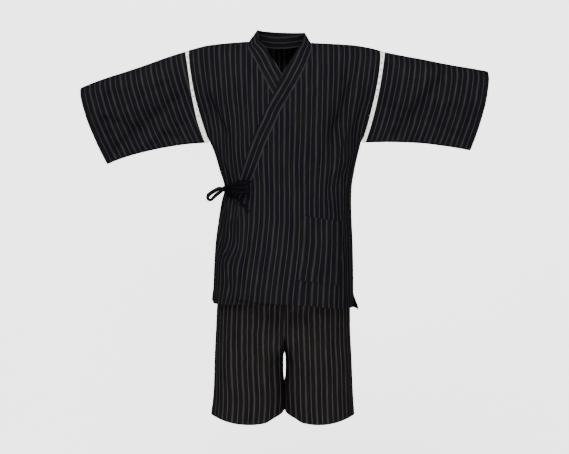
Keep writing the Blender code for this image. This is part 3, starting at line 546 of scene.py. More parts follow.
# %% Normals, walls and meshes
def grid_faces(rows, steps, flip=False):
    """Quads of a grid of rows by steps of points."""
    first = (np.arange(rows - 1)[:, None] * steps + np.arange(steps - 1)).reshape(-1, 1)
    faces = first + np.array([0, 1, steps + 1, steps])
    return faces[:, ::-1] if flip else faces


def shared_normals(pieces):
    """Normals of (points, faces) pairs, the same wherever two pieces meet."""
    keys = np.round(np.concatenate([points for points, faces in pieces]), 2)
    _, which = np.unique(keys, axis=0, return_inverse=True)
    which = which.reshape(-1)
    sums = np.zeros((which.max() + 1, 3))
    start = 0
    for points, faces in pieces:
        a, b, c, d = (points[faces[:, corner]] for corner in range(4))
        normal = np.cross(c - a, d - b)
        for corner in range(4):
            np.add.at(sums, which[start + faces[:, corner]], normal)
        start += len(points)
    sums /= np.maximum(np.linalg.norm(sums, axis=1, keepdims=True), 1e-9)
    found, start = [], 0
    for points, faces in pieces:
        found.append(sums[which[start : start + len(points)]])
        start += len(points)
    return found


def own_normals(grid, flip=False):
    """Normals of one grid that meets no other."""
    return shared_normals([(grid.reshape(-1, 3), grid_faces(*grid.shape[:2], flip))])[0]


def pushed(grid, normals, height):
    """The grid moved out along its normals by a height for each point."""
    return grid + normals.reshape(grid.shape) * height[..., None]


def trimmed(grid, first_row=0.0, last_row=0.0, first_step=0.0, last_step=0.0):
    """A grid whose borders are drawn in, to leave a seam's gap."""
    grid = grid.copy()
    for amount, edge, beside in (
        (first_row, np.s_[0], np.s_[1]),
        (last_row, np.s_[-1], np.s_[-2]),
        (first_step, np.s_[:, 0], np.s_[:, 1]),
        (last_step, np.s_[:, -1], np.s_[:, -2]),
    ):
        inward = grid[beside] - grid[edge]
        length = np.maximum(np.linalg.norm(inward, axis=-1, keepdims=True), 1e-6)
        grid[edge] += inward / length * np.minimum(np.asarray(amount, float).reshape(-1, 1), 0.4 * length)
    return grid


def mesh_object(name, points, faces, uv, material):
    """An object from points in millimetres, with a grain UV for each point."""
    mesh = bpy.data.meshes.new(name)
    mesh.from_pydata((np.asarray(points) * MM).tolist(), [], np.asarray(faces).tolist())
    layer = mesh.uv_layers.new(name="grain")
    loops = np.zeros(len(mesh.loops), int)
    mesh.loops.foreach_get("vertex_index", loops)
    layer.data.foreach_set("uv", (np.asarray(uv)[loops] * MM).reshape(-1))
    mesh.materials.append(material)
    mesh.shade_smooth()
    mesh.set_sharp_from_angle(angle=math.radians(55))
    made = bpy.data.objects.new(name, mesh)
    bpy.context.collection.objects.link(made)
    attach(made, "root")
    return made


def piece(name, points, faces, normals, uv, thickness, material, tube=False):
    """A closed wall of cloth, with its rims round the open edges."""
    count = len(points)
    place = np.arange(count)
    if tube:
        place = np.unique(np.round(points, 2), axis=0, return_inverse=True)[1].reshape(-1)
    ways = np.concatenate([faces[:, [i, (i + 1) % 4]] for i in range(4)])
    edges = np.sort(place[ways], axis=1)
    _, index, uses = np.unique(edges, axis=0, return_index=True, return_counts=True)
    rim = ways[index[uses == 1]]
    walls = np.column_stack([rim[:, 1], rim[:, 0], rim[:, 0] + count, rim[:, 1] + count])
    quads = np.concatenate([faces, faces[:, ::-1] + count, walls])
    half = normals * np.asarray(thickness, float).reshape(-1, 1) / 2
    both = np.concatenate([points + half, points - half])
    made = mesh_object(name, both, quads, np.tile(uv, (2, 1)), material)
    if tube:
        weld(made)
    return made


def grid_piece(name, grid, normals, grain, thickness, material, flip=False, tube=False):
    """A piece of cloth from a grid of points and the grain of each."""
    faces = grid_faces(*grid.shape[:2], flip)
    return piece(name, grid.reshape(-1, 3), faces, normals, grain.reshape(-1, 2), thickness, material, tube)


def weld(made):
    """Joins points that lie on each other; the grain UV keeps its cut."""
    shape = bmesh.new()
    shape.from_mesh(made.data)
    bmesh.ops.remove_doubles(shape, verts=shape.verts, dist=1e-6)
    bmesh.ops.recalc_face_normals(shape, faces=shape.faces)
    shape.to_mesh(made.data)
    shape.free()


def run(grid, axis, weights=1.0):
    """Distance along the rows or the columns of a grid from its first point, with weights for x, y and z."""
    steps = np.linalg.norm(np.diff(grid, axis=axis) * weights, axis=-1)
    start = np.zeros_like(np.take(steps, [0], axis=axis))
    return np.concatenate([start, np.cumsum(steps, axis=axis)], axis=axis)


def from_end(grid, axis):
    """Distance of each point from the last row or step of its grid."""
    far = run(grid, axis)
    return np.take(far, [-1], axis=axis) - far


grids = {}  # shaped grids, for the stitches
print("helpers for grids are ready")

# %% [markdown]
# ## Fronts and back
# Each front is one piece from the shoulder to the hem. It ends at the collar's seam, and below the collar at
# its own free edge. The thread runs up and down, so the stripes keep their distance from the side seam and
# from the middle. The armhole of such a jacket is cut straight along the thread, so the stripes run parallel
# to it and seem to crowd there.

# %% Where the fronts end
# Rows of the collar's laps: seam x and z, free edge x and z, and its depth where it stands off the body.
LAP_LEFT = (
    (71, -3, 55, 25, 0), (73, -18, 48, 2, -36),
    (68, -40, 34, -24, None),
    (57, -68, 18, -52, None),
    (40, -102, -1, -82, None),
    (17, -142, -22, -127, None),
    (-11, -190, -46, -178, None),
    (-29, -230, -64, -216, None),
    (-49, -272, -84, -258, None),
    (-69, -325, -103, -312, None),
    (-90, -378, -123, -377, None),
)
LAP_RIGHT = (
    (-97, 0, -73, 33, 0), (-98, -18, -69, 12, -36),
    (-88, -38, -53, -16, None),
    (-75, -62, -37, -43, None),
    (-62, -88, -21, -66, None),
    (-49, -112, -8, -90, None),
    (-34, -140, 5, -119, None),
    (-8, -188, 30, -168, None),
    (24, -252, 60, -234, None),
    (52, -305, 88, -292, None),
    (76, -353, 109, -352, None),
)
LAP_LEFT_END, LAP_RIGHT_END = -378, -353  # rows at which the band ends
UPRIGHT_Z = (-12, -42)  # between these heights the standing band comes to lie on the body
# Front edges below the collar's ends.
EDGE_LEFT = ((-98, -395), (-107, -412), (-126, -462), (-130, -520), (-130, -800))
EDGE_RIGHT = ((88, -385), (95, -420), (97, -500), (97, -800))
HALF_CLOTH = 262.0  # from the middle to the side, along the cloth
LEAN = -26.0  # how far the stripes of the wrapped front lean aside at its hem
# Places where the tie pulls the weave aside: middle, half width, half height and shift.
PULLS = (
    (-150, -545, 34, 42, 11), (-160, -600, 36, 34, -7), (-158, -672, 30, 40, 6), (-120, -455, 24, 30, -6),
    (-150, -470, 22, 30, 5), (-110, -400, 30, 26, 5), (40, -330, 40, 60, -3), (150, -240, 26, 60, 4),
    (150, -400, 30, 50, -4), (-170, -200, 26, 60, -4), (90, -560, 40, 50, 3),
)
STEPS = 84
CROWDING = 1.3  # power that crowds a front's steps towards its side, where its section turns
HEM_DEEP = 17.0  # depth of the turned hems
HEM_MORE = 0.7  # and how much thicker they are


# %% Grids of the fronts
def lap(rows, lifted):
    """A collar lap's table with each missing depth filled in from the body."""
    x, z = np.array([row[2] for row in rows], float), np.array([row[3] for row in rows], float)
    on_body = front_y(x, z, lifted)
    filled = [row[:4] + (on_body[i] if row[4] is None else row[4],) for i, row in enumerate(rows)]
    return columns("seam_x seam_z free_x free_z free_y", *filled)


def front_grid(side, band, edge, hem):
    """Points of one front, from its side to its collar seam and free edge."""
    xs = np.concatenate([band["seam_x"], [point[0] for point in edge]])
    zs = np.concatenate([band["seam_z"], [point[1] for point in edge]])
    heights = ROWS[:, None]
    right, left = side_edges(heights)
    end = np.zeros_like(heights)
    for _ in range(10):
        z = body_surface(end, heights, FRONT, hem)[..., 2]
        end = (2 * curve(zs, xs, z) - left - right) / (left - right)
    share = np.linspace(0, 1, STEPS + 1) ** CROWDING
    grid = body_surface(side + (end - side) * share, heights, FRONT, hem)
    if side == LEFT:
        grid[..., 1] -= lift(grid[..., 0], grid[..., 2])
    return grid


def creased(grid, normals, face):
    """The grid of a front or the back with its creases, and calm close to the seams."""
    share, rows = (np.linspace(0, 1, count) for count in (grid.shape[1], grid.shape[0]))
    calm = fade(share, 0, 0.05) if face == FRONT else fade(share, 0, 0.1) * fade(1 - share, 0, 0.1)
    height = ridges(CREASES[face], grid[..., 0], grid[..., 2])
    return pushed(grid, normals, height * calm * fade(rows, 0, 0.12)[:, None])


def pulled(x, z):
    """How far the weave of the fronts is pulled aside, in the direction of x."""
    lean = LEAN * fade(z, -460, -760) * (1 - 0.85 * fade(x, -10, 170))
    for at_x, at_z, wide, high, shift in PULLS:
        lean = lean + shift * np.exp(-(((x - at_x) / wide) ** 2) - ((z - at_z) / high) ** 2)
    return lean


def evened(values, reach=90.0, apart=4.0):
    """Values of the rows, each the mean of the rows within the reach above and below it."""
    heights = ROWS[: len(values)][::-1]
    even = np.arange(heights[0] - reach, heights[-1] + reach, apart)
    weights = np.hanning(2 * int(reach / apart) + 1)
    smooth = np.convolve(np.interp(even, heights, values[::-1]), weights / weights.sum(), mode="same")
    return np.interp(ROWS[: len(values)], even, smooth)[:, None]


def body_grain(grid, side=None):
    """Grain of a body panel: distance from the middle, even between it and the sides, and along."""
    across = run(grid, 1)
    middle = np.array([to_middle(row[:, 0], cross) for row, cross in zip(grid, across)])
    half = evened(middle)
    across = across - middle[:, None]
    if side is None:
        other = evened(run(grid, 1)[:, -1] - middle)
        across = across / np.where(across > 0, other, half) * HALF_CLOTH
    else:
        across = -side * across / half * HALF_CLOTH - pulled(grid[..., 0], grid[..., 2])
    return np.stack([across, -run(grid, 0)], -1)


def to_middle(x, cross):
    """Distance along a row from its start to the jacket's middle, also where it stops short of it."""
    way = 1 if x[-1] > x[0] else -1
    return np.interp(0, x[::way], cross[::way]) + max(x.min(), -x.max(), 0)


left_lap, right_lap = lap(LAP_LEFT, True), lap(LAP_RIGHT, False)
left = front_grid(LEFT, left_lap, EDGE_LEFT, HEM_LEFT_FRONT)
right = front_grid(RIGHT, right_lap, EDGE_RIGHT, HEM_RIGHT_FRONT)
print("front grids", left.shape, right.shape)

# %% [markdown]
# The back is one piece too. Its top row follows the shoulders and dips round the neck, where the collar is
# sewn on, so the neckline is found first, on the back's own surface. Both the neckline and the collar's free
# rim above it are half ovals seen from above.

# %% Neckline and back
NECK_MIDDLE, NECK_HALF, NECK_DEPTH = -13, 84, 52
RIM_MIDDLE, RIM_HALF, RIM_DEPTH = -9, 64, 50
RIM_LEFT_Z, RIM_RIGHT_Z = 25, 33
NECK_STEPS = 48
BACK_OUTER = refined([0, 0.015, 0.06, 0.15, 0.28, 0.45, 0.64, 0.83], 5)


def neck_seam(turns):
    """The neckline at the back: how far across each of its points is, and its row."""
    x = NECK_MIDDLE + NECK_HALF * np.cos(turns)
    depth = NECK_DEPTH * np.sin(turns)
    low, high = np.full(len(turns), -float(SHOULDER_ROUND)), np.zeros(len(turns))
    for _ in range(30):
        height = (low + high) / 2
        right_edge, left_edge = side_edges(height)
        across = (2 * x - left_edge - right_edge) / (left_edge - right_edge)
        deep = body_surface(across, height, BACK)[:, 1] > depth
        low, high = np.where(deep, height, low), np.where(deep, high, height)
    high[[0, -1]] = 0.0
    return across, high


def back_grid():
    """Points of the back, whose corners flare out beside the vents."""
    across, top = neck_seam(np.linspace(math.pi, 0, NECK_STEPS + 1))
    right_steps = -1 + (across[0] + 1) * BACK_OUTER
    starts = np.concatenate([right_steps, across, 1 - (1 - across[-1]) * BACK_OUTER[::-1]])
    flat = np.zeros(len(BACK_OUTER))
    top = np.concatenate([flat, top, flat])
    rows = ROWS[:, None]
    heights = np.where(rows >= UNDERARM, top + (UNDERARM - top) * rows / UNDERARM, rows)
    grid = body_surface(starts, heights, BACK, HEM_BACK)
    side = np.sign(starts)
    flare = fade(heights, HEM + VENT, HEM) * fade(abs(starts), VENT_FLARE_FROM, 1)
    grid[..., 0] += side * np.where(side > 0, VENT_FLARE[LEFT], VENT_FLARE[RIGHT]) * flare
    return grid


back = back_grid()
left[0, -1], right[0, -1] = back[0, len(BACK_OUTER) + NECK_STEPS], back[0, len(BACK_OUTER)]
print("back grid", back.shape)

# %% [markdown]
# ## Sleeves
# A sleeve is a straight tube. Its thread runs round the arm, so the stripes go from the top fold to the
# lowest one, parallel to the cuff, and their grain is the distance from the cuff. The lace lies between the
# body's edge and the sleeve's head, and each of the two covers a part of it that changes with the height.

# %% Grids of sleeves and lace bands
RING = refined(ARMHOLE_ROWS, 5)
STATIONS = np.linspace(1, CUFF, 73)
LACE_WIDE = 13.5  # from the body's edge to the sleeve's head
# Where the lace shows between the body's edge, 0, and the sleeve's own seam, 1. The sleeve's turned edge
# lies over the rest of it.
LACE_SHOWS = {
    RIGHT: columns(
        "share near far",
        (0, 0, 0.9), (0.08, 0, 0.62), (0.16, 0, 0.52), (0.28, 0.02, 0.55), (0.42, 0.08, 0.7),
        (0.6, 0.12, 0.86), (0.8, 0.12, 1), (1, 0.1, 1),
    ),
    LEFT: columns(
        "share near far",
        (0, 0, 1), (0.1, 0.02, 0.82), (0.25, 0.05, 0.74), (0.45, 0.05, 0.76), (0.65, 0.08, 0.84),
        (0.8, 0.16, 0.9), (1, 0.2, 0.94),
    ),
}
SEAM_RING = np.concatenate([RING, RING[::-1][1:]])


def shown(side, share):
    """Stations at which the lace starts and stops showing."""
    return tuple(curve(LACE_SHOWS[side]["share"], LACE_SHOWS[side][name], share) for name in ("near", "far"))


def arm_grid(side, stations):
    """Rings round one arm, down its front and up its back, with the first point again at the end."""
    stations = stations * np.ones(len(SEAM_RING))
    front = arm_surface(side, stations[:, : len(RING)], RING, FRONT)
    rear = arm_surface(side, stations[:, len(RING) :], RING[::-1][1:], BACK)
    grid = np.concatenate([front, rear], 1)
    grid[:, -1] = grid[:, 0]
    return grid


def sleeve_grid(side):
    """The sleeve's rings, with its head moved in over the lace."""
    far = shown(side, SEAM_RING)[1] + (SEAM / 2) / LACE_WIDE
    return arm_grid(side, CUFF - (CUFF - far) * (CUFF - STATIONS[:, None]) / (CUFF - 1))


def sleeve_creases(side, stations):
    """Height of the fine creases on a sleeve's rings."""
    face = np.array([FRONT] * len(RING) + [BACK] * (len(RING) - 1))
    height = 0.0
    for way in (FRONT, BACK):
        for at_head, at_cuff, width, crease in SLEEVE_CREASES[side, way]:
            at = at_head + (at_cuff - at_head) * (stations[:, None] - 1) / (CUFF - 1)
            height = height + (face == way) * crease * np.exp(-(((SEAM_RING - at) / width) ** 2))
    run_out = fade(stations, 1, 2.2) * (1 - 0.7 * fade(stations, 5, 7))
    edge = fade(SEAM_RING, 0, 0.1) * fade(1 - SEAM_RING, 0, 0.1)
    return height * run_out[:, None] * edge


skins = {"left": (left, False), "right": (right, True), "back": (back, False)}
for side in (LEFT, RIGHT):
    skins["arm", side] = (arm_grid(side, STATIONS[:, None]), side == RIGHT)
    skins["band", side] = (arm_grid(side, np.array([[0.0], [1.0]])), side == RIGHT)
as_faces = [(grid.reshape(-1, 3), grid_faces(*grid.shape[:2], flip)) for grid, flip in skins.values()]
normals = dict(zip(skins, shared_normals(as_faces)))
print("outward normals shared by", len(skins), "skins")

# %% [markdown]
# Now the panels are made. A hem is turned up twice and stitched, so it is thicker than the rest: the wall's
# thickness grows over its depth. At the armhole a panel reaches over the lace as far as the table says. A
# crease is pushed along the normals, so that it bends the light and not the outline.


def stands_for(made, node):
    """The frame's node is hidden, so that the piece is shown in its place."""
    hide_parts(node)


def hem_thickness(distance, deep=HEM_DEEP):
    """Thickness of the cloth by its distance from a turned edge."""
    return CLOTH + HEM_MORE * (1 - fade(distance, deep - 1.5, deep + 1.5))


def body_panel(node, key, face, side=None, free=None):
    """A front or the back; free is the height below which its last step is a turned edge."""
    grid, flip = skins[key]
    heights = ROWS[: len(grid)]
    above = heights > UNDERARM
    over_lace = {way: shown(way, heights / UNDERARM)[0] * LACE_WIDE * above for way in (LEFT, RIGHT)}
    shaped = trimmed(
        creased(grid, normals[key], face),
        first_row=SEAM / 2,
        first_step=SIDE_TRIM - over_lace[side or RIGHT],
        last_step=SEAM / 2 if side else SIDE_TRIM - over_lace[LEFT],
    )
    deep = hem_thickness(from_end(shaped, 0))
    if free is not None:
        below = grid[..., 2] < free
        deep = np.maximum(deep, np.where(below, hem_thickness(from_end(shaped, 1)), CLOTH))
    grain = body_grain(grid, side)
    stands_for(grid_piece(node + "_cloth", shaped, normals[key], grain, deep, JACKET_CLOTH, flip), node)
    grids[node] = shaped, normals[key]


def sleeve(side, node):
    """A sleeve, whose grain is its distance from the cuff."""
    grid, outward = sleeve_grid(side), normals["arm", side]
    shaped = pushed(grid, outward, sleeve_creases(side, STATIONS))
    grain = np.stack([from_end(grid, 0), run(grid, 1)], -1)
    deep = hem_thickness(from_end(shaped, 0))
    flip = side == RIGHT
    stands_for(grid_piece(node + "_cloth", shaped, outward, grain, deep, JACKET_CLOTH, flip, tube=True), node)
    grids[node] = shaped, outward


body_panel("jacket_front_left", "left", FRONT, LEFT, free=LAP_LEFT_END)
body_panel("jacket_front_right", "right", FRONT, RIGHT, free=LAP_RIGHT_END)
body_panel("jacket_back", "back", BACK)
sleeve(LEFT, "sleeve_left")
sleeve(RIGHT, "sleeve_right")

# %% [markdown]
# ## Collar band
# The collar is one straight strip, folded double, that runs up one front, round the neck and down the other.
# Its thread runs along it, so two or three stripes follow the band however it bends. It stands up at the
# neck and comes to lie on the body at the chest. It is the thickest cloth here, and its edges are soft.

# %% Collar
BAND_STEPS = 16
BAND_EDGE, BAND_SOFT = 1.1, 1.6  # thickness at its very edge, and width over which it grows from there
BAND_STRIPE_SHIFT = -1.5  # puts one stripe at the seam, one in the middle and one at the free edge
NECK_TURNING = 1.4  # how far the standing band goes down behind the neckline


def band_rows():
    """Seam points, free points, uprightness and side of the band's rows, from one end to the other."""
    down = [row for row in range(len(ROWS) - 1, 0, -1) if ROWS[row] >= LAP_LEFT_END]
    up = [row for row in range(1, len(ROWS)) if ROWS[row] >= LAP_RIGHT_END]
    turns = math.pi * (1 - np.arange(NECK_STEPS, -1, -1) / NECK_STEPS)
    seams, frees, uprights = [], [], []
    for table, grid, rows in ((left_lap, left, down), (right_lap, right, up)):
        seam = grid[rows, -1]
        free = [curve(table["seam_z"], table[name], seam[:, 2]) for name in ("free_x", "free_y", "free_z")]
        seams.append(seam)
        frees.append(np.stack(free, -1))
        uprights.append(1 - fade(seam[:, 2], *UPRIGHT_Z))
    rim_z = RIM_LEFT_Z + (RIM_RIGHT_Z - RIM_LEFT_Z) * turns / math.pi
    rim = np.stack([RIM_MIDDLE + RIM_HALF * np.cos(turns), RIM_DEPTH * np.sin(turns), rim_z], -1)
    neck = back[0, len(BACK_OUTER) + np.arange(NECK_STEPS, -1, -1)]
    counts = (len(down), len(turns), len(up))
    seam = np.concatenate([seams[0], neck, seams[1]])
    free = np.concatenate([frees[0], rim, frees[1]])
    upright = np.concatenate([uprights[0], np.ones(len(turns)), uprights[1]])
    return seam, free, upright, np.repeat([True, False, False], counts)


def collar():
    """The band: straight from seam to free edge where it stands, and laid on the body lower down."""
    seam, free, upright, lifted = band_rows()
    share = np.linspace(0, 1, BAND_STEPS + 1)
    band = seam[:, None] + (free - seam)[:, None] * share[:, None]
    on_left, on_right = (front_y(band[..., 0], band[..., 2], over) for over in (True, False))
    weight = np.where((share > 0) & (share < 1), upright[:, None], 1)
    band[..., 1] = band[..., 1] * weight + np.where(lifted[:, None], on_left, on_right) * (1 - weight)
    outward = own_normals(band)
    band = trimmed(band, first_step=SEAM / 2 - NECK_TURNING * upright)
    across = run(band, 1)
    edge = np.minimum(across, across[:, -1:] - across)
    deep = BAND_EDGE + (BAND - BAND_EDGE) * rounding(edge / BAND_SOFT)
    grain = np.stack([across + BAND_STRIPE_SHIFT, run(band, 0)], -1)
    stands_for(grid_piece("collar_cloth", band, outward, grain, deep, JACKET_CLOTH), "collar")
    print("collar band", round(float(run(band, 0)[-1].mean())), "mm long")


collar()

# %% [markdown]
# ## Lace
# The lace is a narrow strip with woven edges. Between them runs a row of eyelets, worked round with thread so
# that their rims stand up. The frame has the eyelets as openings. Here they are round, and get their raised
# rims, small bars between them and the thicker edges of the tape, all as changes of the wall's thickness.
# Each eyelet's cell is a grid from its hole out to a rectangle, and the cells share their edges.

# %% Lace strips
LACE_REPEATS = 16
LACE_HOLE_ALONG, LACE_HOLE_ACROSS = 0.17, 0.21  # half sizes of a hole, as shares of a repeat and of the width
LACE_MARGIN = 0.018  # what the seams take from each side, as a share of the strip's width
LACE_LOW_MARGIN = 0.06  # and more of it where the body turns away under the arm
LACE_GROUND, RIM_HIGH, TAPE_HIGH, BARS_HIGH = 0.75, 1.3, 0.7, 0.35
LACE_GRAIN = (17.5, 14.0)  # a repeat's length and the width, for the grain
CELL_RINGS, CELL_SIDE = 9, 8  # rings from a hole to its cell's edge, and steps along a side of the cell


def cell_outline():
    """Points round a unit square, and the angles from its middle to them."""
    side = np.arange(CELL_SIDE) / CELL_SIDE
    none, all_of_it = 0 * side, 0 * side + 1
    sides = ((side, none), (all_of_it, side), (1 - side, all_of_it), (none, 1 - side))
    square = np.concatenate([np.stack(pair, -1) for pair in sides])
    return square, np.arctan2(square[:, 1] - 0.5, square[:, 0] - 0.5)


def lace_strip(side, face):
    """Points, faces, grain and thickness of half an armhole's lace."""
    dense = np.linspace(0, 1, 481)
    line = arm_surface(side, 0.5, dense, face)
    gone = run(line, 0)
    lead = SEAM / 2 / gone[-1]
    square, turns = cell_outline()
    ring = np.linspace(0, 1, CELL_RINGS)[:, None, None] ** 1.4
    hole = 0.5 + np.stack([LACE_HOLE_ALONG * np.cos(turns), LACE_HOLE_ACROSS * np.sin(turns)], -1)
    cell = hole * (1 - ring) + square * ring
    flat = np.concatenate([cell + (repeat, 0) for repeat in range(LACE_REPEATS)])
    along, across = flat[..., 0], flat[..., 1]
    share = np.interp(lead + (1 - 2 * lead) * along / LACE_REPEATS, gone / gone[-1], dense)
    start, stop = shown(side, share)
    near = start + LACE_MARGIN + LACE_LOW_MARGIN * fade(share, 0.84, 0.96)
    points = arm_surface(side, near + (stop - near - LACE_MARGIN) * across, share, face).reshape(-1, 3)
    from_hole = np.tile(ring * np.ones((1, len(turns), 1)), (LACE_REPEATS, 1, 1))[..., 0]
    from_edge = np.minimum(across, 1 - across)
    rim = RIM_HIGH * np.exp(-(((from_hole - 0.13) / 0.16) ** 2))
    tape = TAPE_HIGH * (1 - fade(from_edge, 0.05, 0.13))
    bars = BARS_HIGH * np.cos(along * math.tau * 4) * fade(from_hole, 0.3, 0.5) * fade(from_edge, 0.1, 0.2)
    deep = LACE_GROUND + rim + tape + bars
    count, rings = len(turns), CELL_RINGS
    first = np.arange(LACE_REPEATS)[:, None, None] * count * rings + np.arange(rings - 1)[:, None] * count
    at, beside = first + np.arange(count), first + (np.arange(count) + 1) % count
    faces = np.stack([at, beside, beside + count, at + count], -1).reshape(-1, 4)
    grain = np.stack([along, across], -1) * LACE_GRAIN
    return points, faces if side * face > 0 else faces[:, ::-1], grain.reshape(-1, 2), deep.reshape(-1)


def joined(points, faces, *values):
    """Cells that share their edges: points at the same place become one."""
    _, first, which = np.unique(np.round(points, 3), axis=0, return_index=True, return_inverse=True)
    return points[first], which.reshape(-1)[faces], *(value[first] for value in values)


for side, word in ((LEFT, "left"), (RIGHT, "right")):
    for face, end in ((FRONT, "front"), (BACK, "back")):
        points, faces, grain, deep = joined(*lace_strip(side, face))
        outward = shared_normals([(points, faces)])[0]
        made = piece(f"lace_{word}_{end}_strip", points, faces, outward, grain, deep, LACE_COTTON)
        stands_for(made, f"lace_{word}_{end}")
print("lace cells", LACE_REPEATS * 4)

# %% [markdown]
# ## Patch pocket
# The pocket is a square of the same cloth on the left front. To lie on it everywhere, each of its points is
# found by looking at the front along the depth, and is then moved out along the cloth's normal. Its sides
# and bottom are turned in, and its mouth has a wide hem. Its stripes go on from the front's, set aside by a
# few millimetres, as cloth that is cut from elsewhere never matches quite.

# %% Pocket
POCKET_TOP = ((46, -470), (159, -490))
POCKET_BOTTOM = ((35, -643), (153, -662))
POCKET_OUT = CLOTH + SEAM + 0.3
POCKET_MOUTH = 22.0  # depth of the hem at its mouth
POCKET_CLOTH, POCKET_HEM = 1.0, 0.5  # its thickness, and what each turned edge adds
POCKET_ASIDE = 4.0  # how far its stripes are set aside from the front's
POCKET_ROWS, POCKET_STEPS = 49, 33


def on_front(tree, x, z):
    """The point and outward normal that a look along the depth meets."""
    place, normal, _, _ = tree.ray_cast(Vector((x, -400, z)), Vector((0, 1, 0)))
    return np.array(place), np.array(normal) * (1 if normal.y < 0 else -1)


def pocket():
    """The pocket's grid, laid on the left front, and its piece."""
    front = grids["jacket_front_left"][0]
    tree = BVHTree.FromPolygons(front.reshape(-1, 3).tolist(), grid_faces(*front.shape[:2]).tolist())
    down = np.linspace(0, 1, POCKET_ROWS)[:, None, None]
    over = np.linspace(0, 1, POCKET_STEPS)[:, None]
    ends = np.array([POCKET_TOP, POCKET_BOTTOM], float)
    top, low = (first * (1 - over) + last * over for first, last in ends)
    spread = top * (1 - down) + low * down
    met = [on_front(tree, x, z) for x, z in spread.reshape(-1, 2)]
    grid = np.array([place + normal * POCKET_OUT for place, normal in met]).reshape(*spread.shape[:2], 3)
    mouth = run(grid, 0)
    sides = np.minimum.reduce([run(grid, 1), from_end(grid, 1), from_end(grid, 0)])
    turned = (1 - fade(sides, 7, 9)) + (1 - fade(mouth, POCKET_MOUTH - 1, POCKET_MOUTH + 1))
    deep = POCKET_CLOTH + POCKET_HEM * turned
    grain = np.stack([spread[..., 0] + POCKET_ASIDE - pulled(spread[..., 0], spread[..., 1]), -mouth], -1)
    outward = own_normals(grid, flip=True)
    stands_for(grid_piece("pocket_cloth", grid, outward, grain, deep, JACKET_CLOTH, flip=True), "pocket")
    grids["pocket"] = grid, outward
    print("pocket", round(float(run(grid, 1)[0, -1])), "by", round(float(mouth[-1, 0])), "mm")


pocket()

# %% [markdown]
# ## Shorts
# The shorts are two legs and a waistband with elastic in it. Above the crotch each leg is half of the hips'
# section, and below it closes to a tube. The turn goes round it, 0 at the outer side and positive over the
# front, and an inner strip with its own steps closes the tube.

# %% Sizes of the shorts
WAIST_TOP, WAIST_LOW = -512, -550
CROTCH = -800
CROTCH_SAG = 20
HIPS = columns(
    "z right left front back",
    (-512, -160, 160, 87, 83), (-550, -163, 163, 90, 86), (-650, -181, 179, 104, 104),
    (-728, -189, 184, 108, 111), (-800, -193, 185, 104, 106), (-880, -197, 189, 98, 98),
    (-970, -200, 193, 93, 93), (-1050, -208, 198, 89, 89),
)
LEG_HEM = columns(
    "turn z",
    (0, -1043), (30, -1040), (50, -1044), (72, -1051), (92, -1055), (112, -1052), (132, -1040),
    (180, -1027),
)
UPPER_ROWS = [WAIST_LOW - SEAM, -590, -640, -690, -735, -770]
LEG_ROWS = refined([*UPPER_ROWS, CROTCH, -826, -860, -905, -955, -1005, -1045], 8)
HIPS_MEET = -0.2  # from the middle to a leg's edge above the crotch, where the two are sewn together
LEG_TOUCH = 0.4  # from the middle to an inner wall where the legs press on each other
LEG_APART = 3.2  # and how much further it is in the gap between them
GAP_OPENS, GAP_CLOSES = (-858, -884), (-940, -966)  # heights between which the gap comes and goes
HIP_ROUND, LEG_ROUND = 0.85, 0.8  # powers of their sections
LEG_SPLIT = 95  # height over which the hips' section becomes two legs
LEG_CORNER = 132  # turn at which the front and back of a leg give way to its inner side
OUTER_STEPS, INNER_STEPS = 108, 24
SHORTS_CREASES = (
    (-92, -760, 78, -758, 28, -22.0), (-50, -782, 4, -830, 24, -12.0), (-20, -800, -96, -744, 7, 3.0),
    (-18, -806, -84, -770, 6, -2.6), (-16, -812, -110, -790, 6, 2.4), (-14, -820, -90, -830, 7, -2.2),
    (22, -800, 108, -752, 8, 3.0), (20, -808, 92, -780, 6, -2.6), (18, -816, 104, -806, 7, 2.2),
    (-60, -760, -52, -1040, 16, 2.6), (-104, -740, -110, -1045, 14, -2.4),
    (-150, -760, -158, -1040, 12, 2.2), (52, -790, 62, -1050, 14, -2.4), (96, -760, 102, -1050, 15, 2.6),
    (140, -750, 150, -1045, 12, -2.2), (-36, -880, -40, -1030, 8, -1.8),
)


def section(side, height, turn):
    """Values that the shorts' sections share: half width, depth and the turn in radians."""
    half = abs(curve(HIPS["z"], HIPS["left" if side == LEFT else "right"], height))
    front, rear = curve(HIPS["z"], HIPS["front"], height), curve(HIPS["z"], HIPS["back"], height)
    return half, np.where(turn >= 0, front, rear), np.radians(turn)


def hip_ring(side, height, turn):
    """Half of the shorts' section above the crotch; turn is 0 at the side and 180 at the middle."""
    half, depth, angle = section(side, height, turn)
    apart = HIPS_MEET + (LEG_TOUCH - HIPS_MEET) * fade(height, CROTCH + 32, CROTCH)
    x = apart + (half - apart) * abs(np.cos(angle / 2)) ** HIP_ROUND
    return side * x, -np.sign(angle) * depth * abs(np.sin(angle / 2)) ** HIP_ROUND


def leg_ring(side, height, turn):
    """A leg's section; turn is 0 at the outer side and 180 at the inner one."""
    outer, depth, angle = section(side, height, turn)
    inner = LEG_TOUCH + LEG_APART * fade(height, *GAP_OPENS) * (1 - fade(height, *GAP_CLOSES))
    x = (outer + inner) / 2 + np.sign(np.cos(angle)) * abs(np.cos(angle)) ** LEG_ROUND * (outer - inner) / 2
    return side * x, -np.sign(np.sin(angle)) * abs(np.sin(angle)) ** LEG_ROUND * depth


